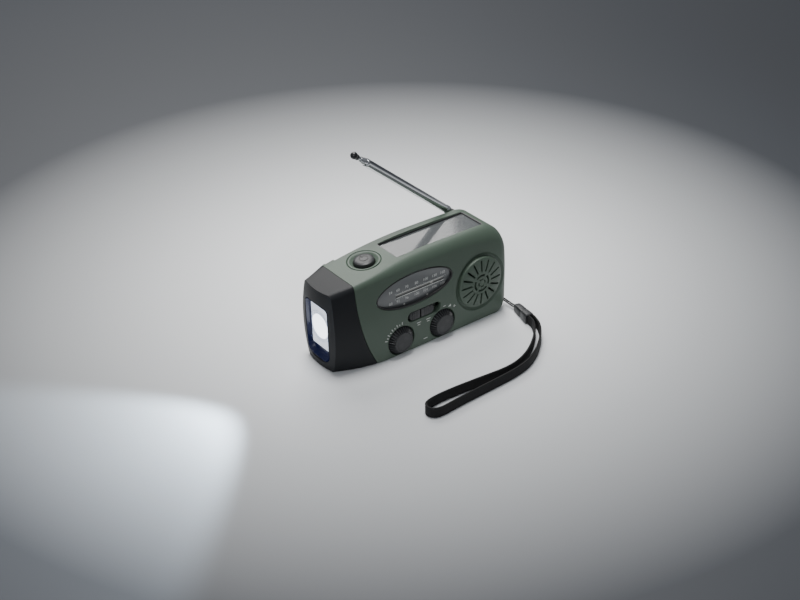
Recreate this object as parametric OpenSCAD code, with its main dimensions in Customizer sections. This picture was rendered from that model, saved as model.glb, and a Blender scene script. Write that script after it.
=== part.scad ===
// Hand-crank emergency radio with a torch head, solar panel, tuning dial,
// telescopic antenna and wrist strap. +X runs along the length to the strap
// end, -Y faces the user, +Z is up. The origin is the middle of the base.

/* [Body] */
// Overall length, torch nose to strap end
body_l = 128; // [126:0.5:130]
// Height at the crown of the top
body_h = 59.7; // [58.5:0.1:61]
// How far the front face bulges forward of the origin
front_y = 22.1; // [21.5:0.1:23]
// How far the flat back lies behind the origin
back_y = 19.5; // [19.3:0.1:20]
// Wall thickness of the casings
wall = 2; // [1.6:0.1:2.2]
// Plane where the front casing meets the rear casing
split_y = 12.8; // [12.6:0.1:13]

/* [Torch head] */
// Radius of the curved joint between casing and head, seen from the front
seam_r = 102; // [98:1:106]
// Height of the torch opening
torch_h = 36; // [30:1:37]
// Half width of the torch opening at its middle
torch_w = 10.8; // [9:0.1:11.5]
// Torch button radius
button_r = 6.3; // [5.5:0.1:6.5]
// Travel of the torch button
button_travel = 1.2; // [0.8:0.1:1.4]

/* [Front controls] */
// Radius of the tuning and volume knobs
knob_r = 8.5; // [8:0.1:8.6]
// Height of the knob centres above the base
knob_z = 9.9; // [9.8:0.1:10.4]
// Half length of the dial oval
dial_a = 27.6; // [26:0.1:28]
// Half height of the dial oval
dial_b = 10.1; // [9.5:0.1:10.4]
// Length of the band switch cap
switch_l = 17.8; // [16:0.1:18]
// Radius of the raised speaker disc
disc_r = 16.4; // [15.8:0.1:16.8]
// Number of radial speaker slots
slot_count = 16; // [12:1:20]

/* [Solar panel] */
// Length of the solar panel window
solar_l = 64.4; // [60:0.2:65]
// Width of the solar panel window
solar_w = 19.8; // [18:0.2:20.6]

/* [Antenna] */
// Distance from the pivot to the tip ball, pushed in
antenna_l = 93.5; // [90:0.5:94]
// Angle above horizontal at which the antenna is drawn
antenna_tilt = 40; // [0:1:90]
// Radius of the outer tube
tube_r = 2.5; // [2.3:0.05:2.6]

/* [Crank] */
// Distance from the crank axis to the handle pivot
crank_l = 38.5; // [36:0.5:40]
// Thickness of the crank arm
crank_t = 2.8; // [2.4:0.1:3]
// Gear tooth module
gear_m = 0.6; // [0.6:0.05:0.6]

/* [Strap] */
// Width of the strap webbing
web_w = 6.5; // [6:0.5:7]
// Thickness of the strap webbing
web_t = 1.3; // [1:0.1:1.4]
// Radius of the thin strap cord
cord_r = 0.6; // [0.5:0.05:0.6]

/* [Hidden] */
$fn = 64;

fit = 0.05;                      // running clearance on a radius
gap = 0.3;                       // clearance between moving faces
big = 200;                       // longer than anything here

// Outline of the casing seen from the front
end_x = body_l / 2;
crown_x = 10;
crown_r = 308;
crown_back_r = 1100;
nose_r = 184;
nose_z = 27;
top_corner_r = 16.4;
base_corner_r = 9.6;
top_corner_x = end_x - top_corner_r;
top_corner_z = body_h - crown_back_r
    + sqrt(pow(crown_back_r - top_corner_r, 2) - pow(top_corner_x - crown_x, 2));
crown_a = acos((top_corner_x - crown_x) / (crown_back_r - top_corner_r));

// Outline of the casing seen from above
nose_plan_r = 50;
nose_half_w = 16.1;
nose_edge_x = -end_x + nose_plan_r - sqrt(pow(nose_plan_r, 2) - pow(nose_half_w, 2));
taper_x = -25;
plan_corner_r = 7;

// Outline of the casing seen from the end
bulge_r = 144;
bulge_z = 25;
shoulder_r = 8;
back_top_r = 4;
back_base_r = 6;
front_base_r = 1.5;

// Curved joint between casing and torch head
seam_x = 54.7;
seam_z = 48;
seam_gap = 0.25;

// Torch parts
torch_x = -end_x;
torch_z = 23;
button_x = -28.2;
button_lean = atan((button_x - crown_x) / crown_r);
button_z = body_h - crown_r + sqrt(pow(crown_r, 2) - pow(button_x - crown_x, 2));
ring_r = 10.1;

// Front controls
tuning_x = -18.9;
volume_x = 11.7;
knob_face_y = -24.6;
recess_r = knob_r + 0.7;
recess_y = -19.4;
boss_y = -17.6;
shaft_r = 1.5;
dial_x = -7.3;
dial_z = 40.5;
dial_face_y = -19.7;
dial_t = 0.8;
track_z = 39.1;
track_x0 = -20.6;
track_x1 = 14.8;
pointer_x = 5.6;
belt_y = -12;
belt_t = 0.6;
drum_r = 6.5;
guide_r = 2.1;
guide_z = track_z - guide_r - 0.3;
guide_x0 = -24;
guide_x1 = 18;
slot_x0 = -13.9;
slot_x1 = 10.4;
slot_z = 22.8;
slot_h = 6.4;
switch_x = -12.4;

// Speaker
speaker_x = 40.8;
speaker_z = 27.2;
disc_y = -23.2;
moat_r = 18.3;
moat_y = -20.9;
seat_y = -17.4;
speaker_r = 15;

// Solar panel
solar_x = 19;
solar_y = -1.5;
cover_z = 57.9;
cover_t = 1;
cell_t = 0.9;
cell_z = cover_z - cover_t - 0.1;
solar_floor = cell_z - cell_t - 0.1;

// Power train: crank axis, intermediate axis, generator axis
board_y = -5.5;
crank_x = 0;
crank_z = 28.5;
drive_n = 48;
mid_pinion_n = 12;
mid_gear_n = 40;
gen_n = 10;
drive_mid = gear_m * (drive_n + mid_pinion_n) / 2;
mid_gen = gear_m * (mid_gear_n + gen_n) / 2;
mid_x = crank_x + drive_mid * cos(8);
mid_z = crank_z - drive_mid * sin(8);
gen_x = mid_x + mid_gen;
gen_z = mid_z;
gen_r = 11.5;
axle_r = 1;
crank_shaft_r = 2.4;
plate_y = 4.2;
plate_t = 1.2;
low_gear_y = 6;
high_gear_y = 8.6;
gear_t = 1.8;
arm_y = back_y + 0.4;
arm_w = 11;
handle_w = 6;
handle_l = 19;
pin_r = 0.8;

// Antenna: pivot and the distances along it from the pivot
pivot_x = 50.9;
pivot_y = 16.5;
pivot_z = 54.7;
groove_z = 51.4;
groove_x0 = -42;
tip_wall_y = 14;
tongue_r = 2.6;
tongue_t = 2.2;
tube_start = 5;
tube_end = 83.6;
section_step = 2.3;
ball_r = 2.2;

// Ports on the strap end
port_x = end_x - 1.8;
board_x = 50.2;
port_y = 2;
port_w = 19;
port_z0 = 20;
port_h = 22;
usb_z = 25;
charge_z = 35.5;

// Strap
strap_pin_x = 59.4;
strap_pin_y = -11.4;
pocket_z0 = 3.2;
pocket_z1 = 7.6;
// Route of the thin cord: from the clamp, round the pin and back
cord_route = [[65.1, -26.7, 2.1], [65.0, -25, 2.1], [64.8, -21, 2.4], [64.0, -17.5, 3.4],
              [62.6, -14.9, 4.7], [60.6, -13.4, 5.3], [58.7, -13.3, 5.4], [57.5, -12.2, 5.4],
              [57.4, -10.7, 5.4], [58.6, -9.5, 5.4], [60.4, -9.4, 5.4], [62.2, -10.4, 5.3],
              [63.9, -12.9, 4.7], [65.3, -16.6, 3.6], [66.3, -20.6, 2.4], [66.8, -24.8, 2.0],
              [66.8, -26.7, 2.0]];
// Route of the webbing: out of the clamp, round the loop and back
web_route = [[63.5, -43.9], [62.8, -47.4], [60.2, -54], [54.8, -61.2], [47.4, -68], [38.6, -74.2],
             [29, -78.6], [18, -80.8], [6, -81.6], [-6, -82], [-18, -82.4], [-29, -83],
             [-37.5, -83.4], [-42, -82.2], [-44, -79], [-42.8, -75.6], [-38.8, -73.8],
             [-31, -73.2], [-21, -73.6], [-9, -74.6], [3, -75.8], [13, -76.6], [21.5, -76],
             [29.6, -73.6], [37.6, -69.2], [45.8, -63], [53.2, -55.8], [58.2, -49], [60, -43.9]];

// Points of an arc; skip leaves out the first ones where two arcs meet
function arc(c, r, a0, a1, n, skip = 0) =
    [for (i = [skip:n]) let (a = a0 + (a1 - a0) * i / n) [c[0] + r * cos(a), c[1] + r * sin(a)]];

function side_points(inset) = concat(
    arc([end_x - base_corner_r, base_corner_r], base_corner_r - inset, -90, 0, 6),
    arc([top_corner_x, top_corner_z], top_corner_r - inset, 0, crown_a, 8),
    arc([crown_x, body_h - crown_back_r], crown_back_r - inset, crown_a, 90, 4, 1),
    arc([crown_x, body_h - crown_r], crown_r - inset, 90,
        acos((-end_x + 2.6 + inset - crown_x) / (crown_r - inset)), 12, 1),
    arc([-end_x + nose_r, nose_z], nose_r - inset, 180 - asin((23.5 - inset) / (nose_r - inset)),
        180 + asin((nose_z - 1 - inset) / (nose_r - inset)), 8),
    [[-end_x + nose_r + 0.8 - sqrt(pow(nose_r - inset, 2) - pow(nose_z - inset, 2)), inset]]);

function plan_points(inset) = let (
    nose_a = asin((nose_half_w - 1.15 * inset) / (nose_plan_r - inset)),
    dx = taper_x - nose_edge_x,
    front_drop = front_y - nose_half_w,
    back_drop = back_y - nose_half_w,
    front_r = (dx * dx + front_drop * front_drop) / (2 * front_drop),
    back_r = (dx * dx + back_drop * back_drop) / (2 * back_drop),
    corner_y = plan_corner_r - front_y)
    concat(
    arc([-end_x + nose_plan_r, 0], nose_plan_r - inset, 180 - nose_a, 180 + nose_a, 8),
    arc([taper_x, front_r - front_y], front_r - inset, 270 - asin(dx / front_r) + 1, 270, 6),
    arc([end_x - plan_corner_r, corner_y], plan_corner_r - inset, 270, 360, 6),
    arc([end_x - back_base_r, back_y - back_base_r], back_base_r - inset, 0, 90, 5),
    arc([taper_x, back_y - back_r], back_r - inset, 90, 90 + asin(dx / back_r) - 1, 6));

function end_points(inset) = let (
    shoulder_z = body_h - shoulder_r,
    lean = asin((shoulder_z - bulge_z) / (bulge_r - shoulder_r)),
    shoulder_y = bulge_r - front_y - (bulge_r - shoulder_r) * cos(lean),
    foot_r = max(front_base_r - inset, 0.2),
    foot_z = inset + foot_r)
    concat(
    arc([back_y - back_base_r, back_base_r], back_base_r - inset, -90, 0, 5),
    arc([back_y - back_top_r, body_h - back_top_r], back_top_r - inset, 0, 90, 6),
    arc([shoulder_y, shoulder_z], shoulder_r - inset, 90, 180 - lean, 6),
    arc([bulge_r - front_y, bulge_z], bulge_r - inset, 180 - lean, 180, 8, 1),
    arc([foot_z - front_y, foot_z], foot_r, 180, 270, 3));

// Cylinders along the axes, from one coordinate to another
module rod_x(x0, x1, y, z, r)
    translate([x0, y, z]) rotate([0, 90, 0]) cylinder(r = r, h = x1 - x0);
module rod_y(x, z, y0, y1, r)
    translate([x, y0, z]) rotate([-90, 0, 0]) cylinder(r = r, h = y1 - y0);
module block(lo, hi) translate(lo) cube(hi - lo);

// Extrude an outline of x and z along Y
module along_y(y0, y1) translate([0, y1, 0]) rotate([90, 0, 0]) linear_extrude(y1 - y0) children();
// Extrude an outline of y and z along X
module along_x(x0, x1)
    translate([x0, 0, 0]) rotate([90, 0, 90]) linear_extrude(x1 - x0) children();

// The whole casing and head as one smooth solid, inset by a wall
module casing(inset) intersection() {
    along_y(-front_y - 1, back_y + 1) polygon(side_points(inset));
    translate([0, 0, -1]) linear_extrude(body_h + 2) polygon(plan_points(inset));
    along_x(-end_x - 1, end_x + 1) polygon(end_points(inset));
}
module seam_disc(r) rod_y(seam_x, seam_z, -big / 2, big / 2, r);
module body(inset) intersection() {
    casing(inset);
    seam_disc(seam_r - inset);
}
// A frame standing on the crown at the torch button
module at_button() translate([button_x, 0, button_z]) rotate([0, button_lean, 0]) children();

module dial_outline(grow) polygon([for (i = [0:47])
    [dial_x + (dial_a + grow) * cos(i * 7.5), dial_z + (dial_b + grow) * sin(i * 7.5)]]);
module slot_outline(x0, x1, z, h) {
    translate([x0 + h / 2, z - h / 2]) square([x1 - x0 - h, h]);
    translate([x0 + h / 2, z]) circle(h / 2);
    translate([x1 - h / 2, z]) circle(h / 2);
}
module speaker_slots() {
    for (i = [0:slot_count - 1])
        translate([speaker_x, disc_y - 1, speaker_z]) rotate([0, i * 360 / slot_count, 0])
            translate([7.2, 0, -0.6]) cube([7.6, 7.6, 1.2]);
}
module hub_slots(r, w, a) {
    for (i = [0:3])
        translate([speaker_x, disc_y + 6, speaker_z]) rotate([90, i * 90, 0])
            rotate_extrude(angle = a) translate([r - w / 2, 0]) square([w, 7]);
}
screw_places = [[-37, 44.5], [-33, 17], [54, 45], [57.5, 16.4]];
board_posts = [[-29.2, 42.4], [18.8, 42.4], [-29.2, 22], [18.8, 22]];
plate_posts = [[-11.9, 40.4], [-11.9, 15.8], [43, 40.4], [43, 15.8]];
plate_post_r = 1.6;

module front_bosses() intersection() {
    casing(0.4);
    seam_disc(seam_r - 1);
    union() {
        rod_y(speaker_x, speaker_z, -front_y, seat_y, 18.6);
        block([solar_x - solar_l / 2 - 1.5, solar_y - solar_w / 2 - 1.5, 50],
              [solar_x + solar_l / 2 + 1.5, solar_y + solar_w / 2 + 1.5, body_h]);
        at_button() {
            translate([0, 0, -5]) cylinder(r = 8.6, h = 5);
            for (y = [-8.3, 8.3]) translate([0, y, -10]) cylinder(r = 1, h = 5.2);
        }
        for (x = [tuning_x, volume_x]) rod_y(x, knob_z, -front_y, boss_y, recess_r + 1.2);
        block([-45, split_y - wall, groove_z - wall], [end_x, split_y, body_h]);
        block([55.4, -19, 0], [end_x, -6.8, 9.4]);
        for (p = screw_places) rod_y(p[0], p[1], -front_y, split_y, 2.4);
    }
}
module front_shell() color("darkolivegreen") difference() {
    union() {
        difference() {
            intersection() {
                body(0);
                translate([0, split_y - big / 2, 0]) cube([big, big, big], center = true);
            }
            body(wall);
        }
        difference() {
            front_bosses();
            // Room below the solar pad
            block([button_x + 9.5, -18, 40], [51.4, split_y - wall, solar_floor - 1.4]);
        }
        // Posts that carry the main board
        for (p = board_posts) rod_y(p[0], p[1], -20.5, board_y, 1.4);
        // Raised speaker disc
        rod_y(speaker_x, speaker_z, disc_y, seat_y, disc_r);
    }
    along_y(-front_y - 1, -15) dial_outline(0);
    along_y(-front_y - 1, -15) slot_outline(slot_x0, slot_x1, slot_z, slot_h);
    block([switch_x - 2.4, -19.9, slot_z - 3.8], [switch_x + switch_l + 3.8, -17, slot_z + 3.8]);
    for (x = [tuning_x, volume_x]) {
        rod_y(x, knob_z, -front_y - 1, recess_y, recess_r);
        rod_y(x, knob_z, -front_y - 1, boss_y + 1, shaft_r + fit + 0.4);
    }
    // Moat round the speaker disc
    translate([speaker_x, moat_y, speaker_z]) rotate([90, 0, 0]) difference() {
        cylinder(r = moat_r, h = 6);
        translate([0, 0, -1]) cylinder(r = disc_r, h = 8);
    }
    speaker_slots();
    hub_slots(5.2, 1.1, 55);
    hub_slots(2.3, 0.8, 50);
    // Solar window
    solar_slab(0, solar_floor, body_h + 5);
    at_button() {
        translate([0, 0, -6]) cylinder(r = button_r + gap, h = 10);
        translate([0, 0, -1.1]) cylinder(r1 = button_r + 0.9, r2 = ring_r - 0.3, h = 1.5);
    }
    // Strap pocket and the seats of its pin
    block([56.4, -16.4, pocket_z0], [end_x + 2, -7.6, pocket_z1]);
    translate([strap_pin_x, strap_pin_y, 2.6]) cylinder(r = 1, h = 6);
    // Port recess and sockets
    block([port_x, port_y - port_w / 2, port_z0],
          [end_x + 2, port_y + port_w / 2, port_z0 + port_h]);
    block([50, port_y - 6.7, usb_z - 2.95], [end_x, port_y + 6.7, usb_z + 2.95]);
    block([50, port_y - 4.1, charge_z - 1.7], [end_x, port_y + 4.1, charge_z + 1.7]);
    rod_x(55, end_x, port_y + 7.4, charge_z, 1.3);
    // Screw holes, then the antenna groove
    for (p = screw_places) rod_y(p[0], p[1], 2, split_y + 1, 1 + fit);
    // Wire way to the torch
    rod_x(-60, -40, 0, 40, 2);
}
module rear_shell() color("olivedrab") difference() {
    union() {
        difference() {
            intersection() {
                body(0);
                block([-big, split_y, -1], [big, back_y + 1, big]);
            }
            intersection() {
                body(wall);
                block([-end_x, split_y - 1, 0], [end_x, back_y, groove_z - wall]);
            }
        }
        // Posts that carry the gearbox plate, and the screw columns
        for (p = plate_posts) rod_y(p[0], p[1], plate_y + plate_t, back_y - wall + 0.1, plate_post_r);
        for (p = screw_places) rod_y(p[0], p[1], split_y, back_y - wall + 0.1, 3.4);
        rod_y(crank_x, crank_z, split_y, back_y - wall + 0.1, crank_shaft_r + 1.8);
    }
    block([groove_x0, split_y - 1, groove_z], [end_x + 2, back_y + 2, body_h + 5]);
    block([-45.2, tip_wall_y, groove_z + 0.4], [groove_x0 + 1, back_y + 2, body_h + 5]);
    rod_y(crank_x, crank_z, split_y, back_y + 1, crank_shaft_r + fit);
    for (p = screw_places) {
        rod_y(p[0], p[1], split_y, back_y + 1, 1.3);
        rod_y(p[0], p[1], back_y - 1.6, back_y + 1, 2.6);
    }
    at_bracket_screws() translate([0, 0, -3]) cylinder(r = 0.7, h = 4);
}

// The torch opening, seen from the nose: y and z
module torch_outline(grow) {
    w = torch_w + grow;
    h = torch_h / 2 + grow;
    polygon(concat(arc([w - 12, torch_z + 4], 12, -25, 25, 6), [[w - 1.2, torch_z + h], [1.2 - w, torch_z + h]],
                   arc([12 - w, torch_z + 4], 12, 155, 205, 6),
                   [[3 - w, torch_z - h], [w - 3, torch_z - h]]));
}
module torch_head() color("dimgray") difference() {
    casing(0);
    seam_disc(seam_r + seam_gap);
    difference() {
        casing(wall);
        seam_disc(seam_r + seam_gap - 1);
        block([-end_x - 1, -big, -1], [torch_x + 6.2, big, big]);
    }
    along_x(-end_x - 2, -50) torch_outline(0);
    along_x(torch_x + 4.2, torch_x + 5.6) torch_outline(0.8);
    rod_x(-60, -40, 0, 40, 2);
}
module torch_lens() color("lightcyan", 0.5)
    along_x(torch_x + 4.3, torch_x + 5.5) torch_outline(0.7);
module torch_reflector() color("silver") difference() {
    translate([torch_x + 6.4, 0, torch_z]) rotate([0, 90, 0]) cylinder(r1 = 11, r2 = 6, h = 6.6);
    translate([torch_x + 6.3, 0, torch_z]) rotate([0, 90, 0])
        cylinder(r1 = 10.2, r2 = 3.6, h = 5.2);
    rod_x(torch_x + 10, torch_x + 14, 0, torch_z, 2.6);
}
module torch_led() color("ivory") {
    rod_x(torch_x + 10.6, torch_x + 13.2, 0, torch_z, 2.4);
    block([torch_x + 13.2, -6, torch_z - 6], [torch_x + 14.4, 6, torch_z + 6]);
}
module torch_button() color("dimgray") at_button() {
    translate([0, 0, -5.9]) cylinder(r = button_r + 0.9, h = 0.8);
    translate([0, 0, -5.3]) cylinder(r = button_r, h = 6.3);
    translate([0, 0, 1]) cylinder(r1 = button_r, r2 = button_r - 1.6, h = 0.9);
}
module torch_switch() color("black") at_button() {
    translate([-3, -3, -10]) cube([6, 6, 2.6]);
    translate([-5.4, -9.2, -11.2]) cube([10.8, 18.4, 1.2]);
}

module solar_slab(shrink, z0, z1) block(
    [solar_x - solar_l / 2 + shrink, solar_y - solar_w / 2 + shrink, z0],
    [solar_x + solar_l / 2 - shrink, solar_y + solar_w / 2 - shrink, z1]);
module solar_cover() color("slategray", 0.6) solar_slab(0.1, cover_z - cover_t, cover_z);
module solar_cell() color("midnightblue") solar_slab(0.8, cell_z - cell_t, cell_z);

module dial_plate() color("dimgray") difference() {
    along_y(dial_face_y, dial_face_y + dial_t) dial_outline(-0.1);
    along_y(dial_face_y - 1, dial_face_y + dial_t + 1)
        slot_outline(track_x0, track_x1, track_z, 1.6);
}
module dial_rail() color("gainsboro")
    block([-26, -18.1, track_z - 1], [20, -17.3, track_z + 1]);
module dial_pointer() color("white") {
    translate([pointer_x, 0, track_z]) {
        block([-0.8, -19.3, -0.6], [0.8, -18.4, 0.6]);
        block([-0.8, -18.8, -0.6], [0.8, -18.4, 2]);
        block([-0.8, -18.8, 1.3], [0.8, belt_y + 0.9, 2]);
        // Carrier that the dial cord runs through
        difference() {
            block([-1.2, belt_y - 2, -1.6], [1.2, belt_y + 1.5, 1.6]);
            block([-2, belt_y - 0.8, -0.8], [2, belt_y + 0.8, 0.8]);
        }
    }
}
module belt_line(grow) hull() {
    translate([tuning_x, knob_z]) circle(drum_r + grow, $fn = 48);
    translate([guide_x0, guide_z]) circle(guide_r + grow, $fn = 32);
    translate([guide_x1, guide_z]) circle(guide_r + grow, $fn = 32);
}
module dial_cord() color("khaki") along_y(belt_y - 0.4, belt_y + 0.4) difference() {
    belt_line(belt_t / 2);
    belt_line(-belt_t / 2);
}
module cord_guides() color("gray") for (x = [guide_x0, guide_x1]) {
    rod_y(x, guide_z, belt_y - 1, -5.5, guide_r - belt_t / 2 - 0.05);
    rod_y(x, guide_z, belt_y - 1.6, belt_y - 0.7, guide_r + 0.8);
}

// Ribbed knob: a flat face inside a ring of ribs on a sloped rim
module knob(x) color("dimgray") difference() {
    union() {
        translate([x, recess_y - 0.4, knob_z]) rotate([90, 0, 0])
            cylinder(r = knob_r, h = 1.6);
        translate([x, recess_y - 2, knob_z]) rotate([90, 0, 0])
            cylinder(r1 = knob_r, r2 = knob_r - 2.2, h = -knob_face_y + recess_y - 2);
        rod_y(x, knob_z, recess_y - 0.4, boss_y + 12, shaft_r);
    }
    for (i = [0:29])
        translate([x, 0, knob_z]) rotate([0, i * 12, 0])
            translate([knob_r - 1.3, knob_face_y - 1, -0.3]) cube([2, 4.2, 0.6]);
}
module tuning_knob() knob(tuning_x);
module volume_knob() knob(volume_x);
module tuning_drum() color("ivory") difference() {
    union() {
        rod_y(tuning_x, knob_z, belt_y - 1.5, belt_y + 1.5, drum_r - belt_t / 2 - 0.1);
        rod_y(tuning_x, knob_z, belt_y - 1.5, belt_y - 0.7, drum_r + 0.9);
        rod_y(tuning_x, knob_z, belt_y + 0.7, belt_y + 1.5, drum_r + 0.9);
    }
    rod_y(tuning_x, knob_z, belt_y - 3, belt_y + 3, shaft_r);
}
module tuning_capacitor() color("whitesmoke") difference() {
    block([tuning_x - 8, -10, knob_z - 6.8], [tuning_x + 8, -5.5, knob_z + 8]);
    rod_y(tuning_x, knob_z, -11, boss_y + 12.3, shaft_r + fit);
}
module volume_control() color("silver") difference() {
    rod_y(volume_x, knob_z, -10, -5.5, 6.8);
    rod_y(volume_x, knob_z, -11, boss_y + 12.3, shaft_r + fit);
}

module band_switch_cap() color("dimgray") {
    difference() {
        along_y(-21.8, -20.4) slot_outline(switch_x, switch_x + switch_l, slot_z, slot_h - 0.6);
        block([switch_x + 8, -23, slot_z - 4], [switch_x + 9, -21.3, slot_z + 4]);
    }
    along_y(-20.4, -19.6) slot_outline(switch_x, switch_x + switch_l, slot_z, slot_h - 0.6);
    block([switch_x - 2, -19.6, slot_z - 3.6], [switch_x + switch_l + 0.3, -18.8, slot_z + 3.6]);
    block([switch_x + 6.5, -18.8, slot_z - 1.5], [switch_x + 10.5, -15.4, slot_z + 1.5]);
}
module band_switch_body() color("silver") difference() {
    block([-14, -17.5, slot_z - 3.6], [10, -13.6, slot_z + 3.6]);
    block([switch_x + 6, -19, slot_z - 1.9], [switch_x + 14.4, -15, slot_z + 1.9]);
}

module speaker_cloth() color("black")
    rod_y(speaker_x, speaker_z, seat_y, seat_y + 0.4, speaker_r);
module speaker_frame() color("silver") difference() {
    union() {
        rod_y(speaker_x, speaker_z, seat_y + 0.4, seat_y + 1.6, speaker_r);
        translate([speaker_x, seat_y + 1.6, speaker_z]) rotate([-90, 0, 0])
            cylinder(r1 = speaker_r - 1.4, r2 = 8.2, h = 5);
    }
    translate([speaker_x, seat_y + 0.3, speaker_z]) rotate([-90, 0, 0])
        cylinder(r1 = speaker_r - 1.6, r2 = 6.6, h = 5.6);
    rod_y(speaker_x, speaker_z, seat_y, seat_y + 8, 6);
}
module speaker_cone() color("darkslategray") difference() {
    translate([speaker_x, seat_y + 0.5, speaker_z]) rotate([-90, 0, 0])
        cylinder(r1 = speaker_r - 1.8, r2 = 5, h = 4.6);
    translate([speaker_x, seat_y + 0.4, speaker_z]) rotate([-90, 0, 0])
        cylinder(r1 = speaker_r - 2.2, r2 = 4.4, h = 4.2);
}
module speaker_magnet() color("gray")
    rod_y(speaker_x, speaker_z, seat_y + 6.8, -6.4, 8.2);

module main_board() color("seagreen") difference() {
    block([-31, board_y, 4], [20.6, board_y + 1.5, 44.5]);
    rod_y(-33, 17, board_y - 1, board_y + 3, 3);
}
module battery_pack() color("royalblue") {
    for (p = [[-34, 1.6], [-34, 11.9], [11, 11.9]])
        rod_x(p[0], p[0] + 43.6, p[1], 7.6, 5.1);
}
module ferrite_rod() color("black") rod_x(-16, 34, 3, 47.6, 3.6);
module antenna_coil() color("peru") difference() {
    rod_x(-12, 4, 3, 47.6, 4.8);
    rod_x(-13, 5, 3, 47.6, 3.6);
}

// Spur gear with straight-sided teeth, turned by a fraction of a pitch
module gear(n, h, turn) {
    pitch = gear_m * n / 2;
    root = pitch - 1.2 * gear_m;
    tip = pitch + 0.9 * gear_m;
    half = 90 / n - 1.4 * 90 / n * 0.12;
    linear_extrude(h) union() {
        circle(root + 0.01);
        for (i = [0:n - 1]) rotate((i + turn) * 360 / n)
            polygon([[root - 0.3, -(root) * sin(half * 1.45)], [tip, -tip * sin(half * 0.5)],
                     [tip, tip * sin(half * 0.5)], [root - 0.3, root * sin(half * 1.45)]]);
    }
}
module gear_at(x, z, y, n, h, turn)
    translate([x, y + h, z]) rotate([90, 0, 0]) gear(n, h, turn);
module drive_gear() color("ivory") difference() {
    gear_at(crank_x, crank_z, high_gear_y, drive_n, gear_t, drive_n * -8 / 360);
    rod_y(crank_x, crank_z, high_gear_y - 1, high_gear_y + gear_t + 1, crank_shaft_r);
}
module intermediate_gear() color("ivory") difference() {
    union() {
        gear_at(mid_x, mid_z, low_gear_y, mid_gear_n, gear_t, 0);
        gear_at(mid_x, mid_z, high_gear_y, mid_pinion_n, gear_t,
                mid_pinion_n * (180 - 8) / 360 + 0.5);
        rod_y(mid_x, mid_z, low_gear_y + gear_t, high_gear_y, 2.6);
    }
    rod_y(mid_x, mid_z, low_gear_y - 1, high_gear_y + gear_t + 1, axle_r + fit);
}
module generator_pinion() color("goldenrod") {
    gear_at(gen_x, gen_z, low_gear_y, gen_n, gear_t, gen_n * 180 / 360 + 0.5);
    rod_y(gen_x, gen_z, plate_y - 2, low_gear_y, 1.1);
}
module gearbox_plate() color("lightgray") {
    difference() {
        block([-13.5, plate_y, 13.8], [45, plate_y + plate_t, 42.4]);
        rod_y(crank_x, crank_z, plate_y - 1, plate_y + 3, crank_shaft_r + fit);
        rod_y(gen_x, gen_z, plate_y - 1, plate_y + 3, 3.4);
    }
    rod_y(mid_x, mid_z, plate_y + plate_t, high_gear_y + gear_t + 0.8, axle_r);
}
module generator() color("darkgray") difference() {
    rod_y(gen_x, gen_z, -5.8, plate_y - 0.05, gen_r);
    rod_y(gen_x, gen_z, plate_y - 2.3, plate_y + 1, 1.1 + fit);
}

// Outline of the crank arm, x and z about the crank axis
module arm_outline() {
    circle(8.5);
    translate([-crank_l, 0]) circle(arm_w / 2);
    translate([-crank_l, -arm_w / 2]) square([crank_l, arm_w]);
}
module crank_arm() color("darkolivegreen") {
    difference() {
        translate([crank_x, 0, crank_z]) union() {
            along_y(arm_y, arm_y + crank_t) arm_outline();
        }
        block([crank_x - crank_l - 1.8, arm_y - 1, crank_z - handle_w / 2 - gap],
              [crank_x - crank_l + handle_l, arm_y + crank_t + 1, crank_z + handle_w / 2 + gap]);
        translate([crank_x - crank_l, arm_y + crank_t / 2, crank_z - 4.6])
            cylinder(r = pin_r, h = 9.2);
    }
    rod_y(crank_x, crank_z, 3.4, arm_y, crank_shaft_r);
}
module crank_handle() color("dimgray") difference() {
    union() {
        block([crank_x - crank_l, arm_y + 0.1, crank_z - handle_w / 2],
              [crank_x - crank_l + handle_l - 0.8, arm_y + crank_t - 0.1, crank_z + handle_w / 2]);
        translate([crank_x - crank_l, arm_y + crank_t / 2, crank_z - handle_w / 2])
            cylinder(r = crank_t / 2 - 0.1, h = handle_w);
    }
    translate([crank_x - crank_l, arm_y + crank_t / 2, crank_z - 6])
        cylinder(r = pin_r + fit, h = 12);
}
module handle_pin() color("silver")
    translate([crank_x - crank_l, arm_y + crank_t / 2, crank_z - 4.6])
        cylinder(r = pin_r, h = 9.2);

// A frame at the antenna pivot whose +X runs along the antenna
module at_antenna() translate([pivot_x, pivot_y, pivot_z]) rotate([0, 180 + antenna_tilt, 0])
    children();
module at_bracket_screws() for (y = [pivot_y - 1.5, pivot_y + 1.5])
    translate([pivot_x + 4, y, groove_z]) children();
module antenna_bracket() color("silver") difference() {
    union() {
        block([pivot_x - 2.2, pivot_y - 2.9, groove_z],
              [pivot_x + 5.6, pivot_y + 2.9, groove_z + 0.5]);
        for (y = [pivot_y - 2.9, pivot_y + 1.9]) {
            block([pivot_x - 2.2, y, groove_z], [pivot_x + 2.2, y + 1, pivot_z]);
            rod_y(pivot_x, pivot_z, y, y + 1, 2.2);
        }
    }
    rod_y(pivot_x, pivot_z, pivot_y - 4, pivot_y + 4, 1);
    at_bracket_screws() translate([0, 0, -1]) cylinder(r = 0.7 + fit, h = 3);
}
module bracket_screws() color("silver") at_bracket_screws() {
    translate([0, 0, -1.8]) cylinder(r = 0.7, h = 2.4);
    translate([0, 0, 0.5]) cylinder(r = 1.2, h = 0.6);
}
module antenna_screw() color("silver") {
    rod_y(pivot_x, pivot_z, pivot_y - 2.9, pivot_y + 2.9, 1);
    rod_y(pivot_x, pivot_z, pivot_y + 2.9, pivot_y + 3.2, 1.7);
}
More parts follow.
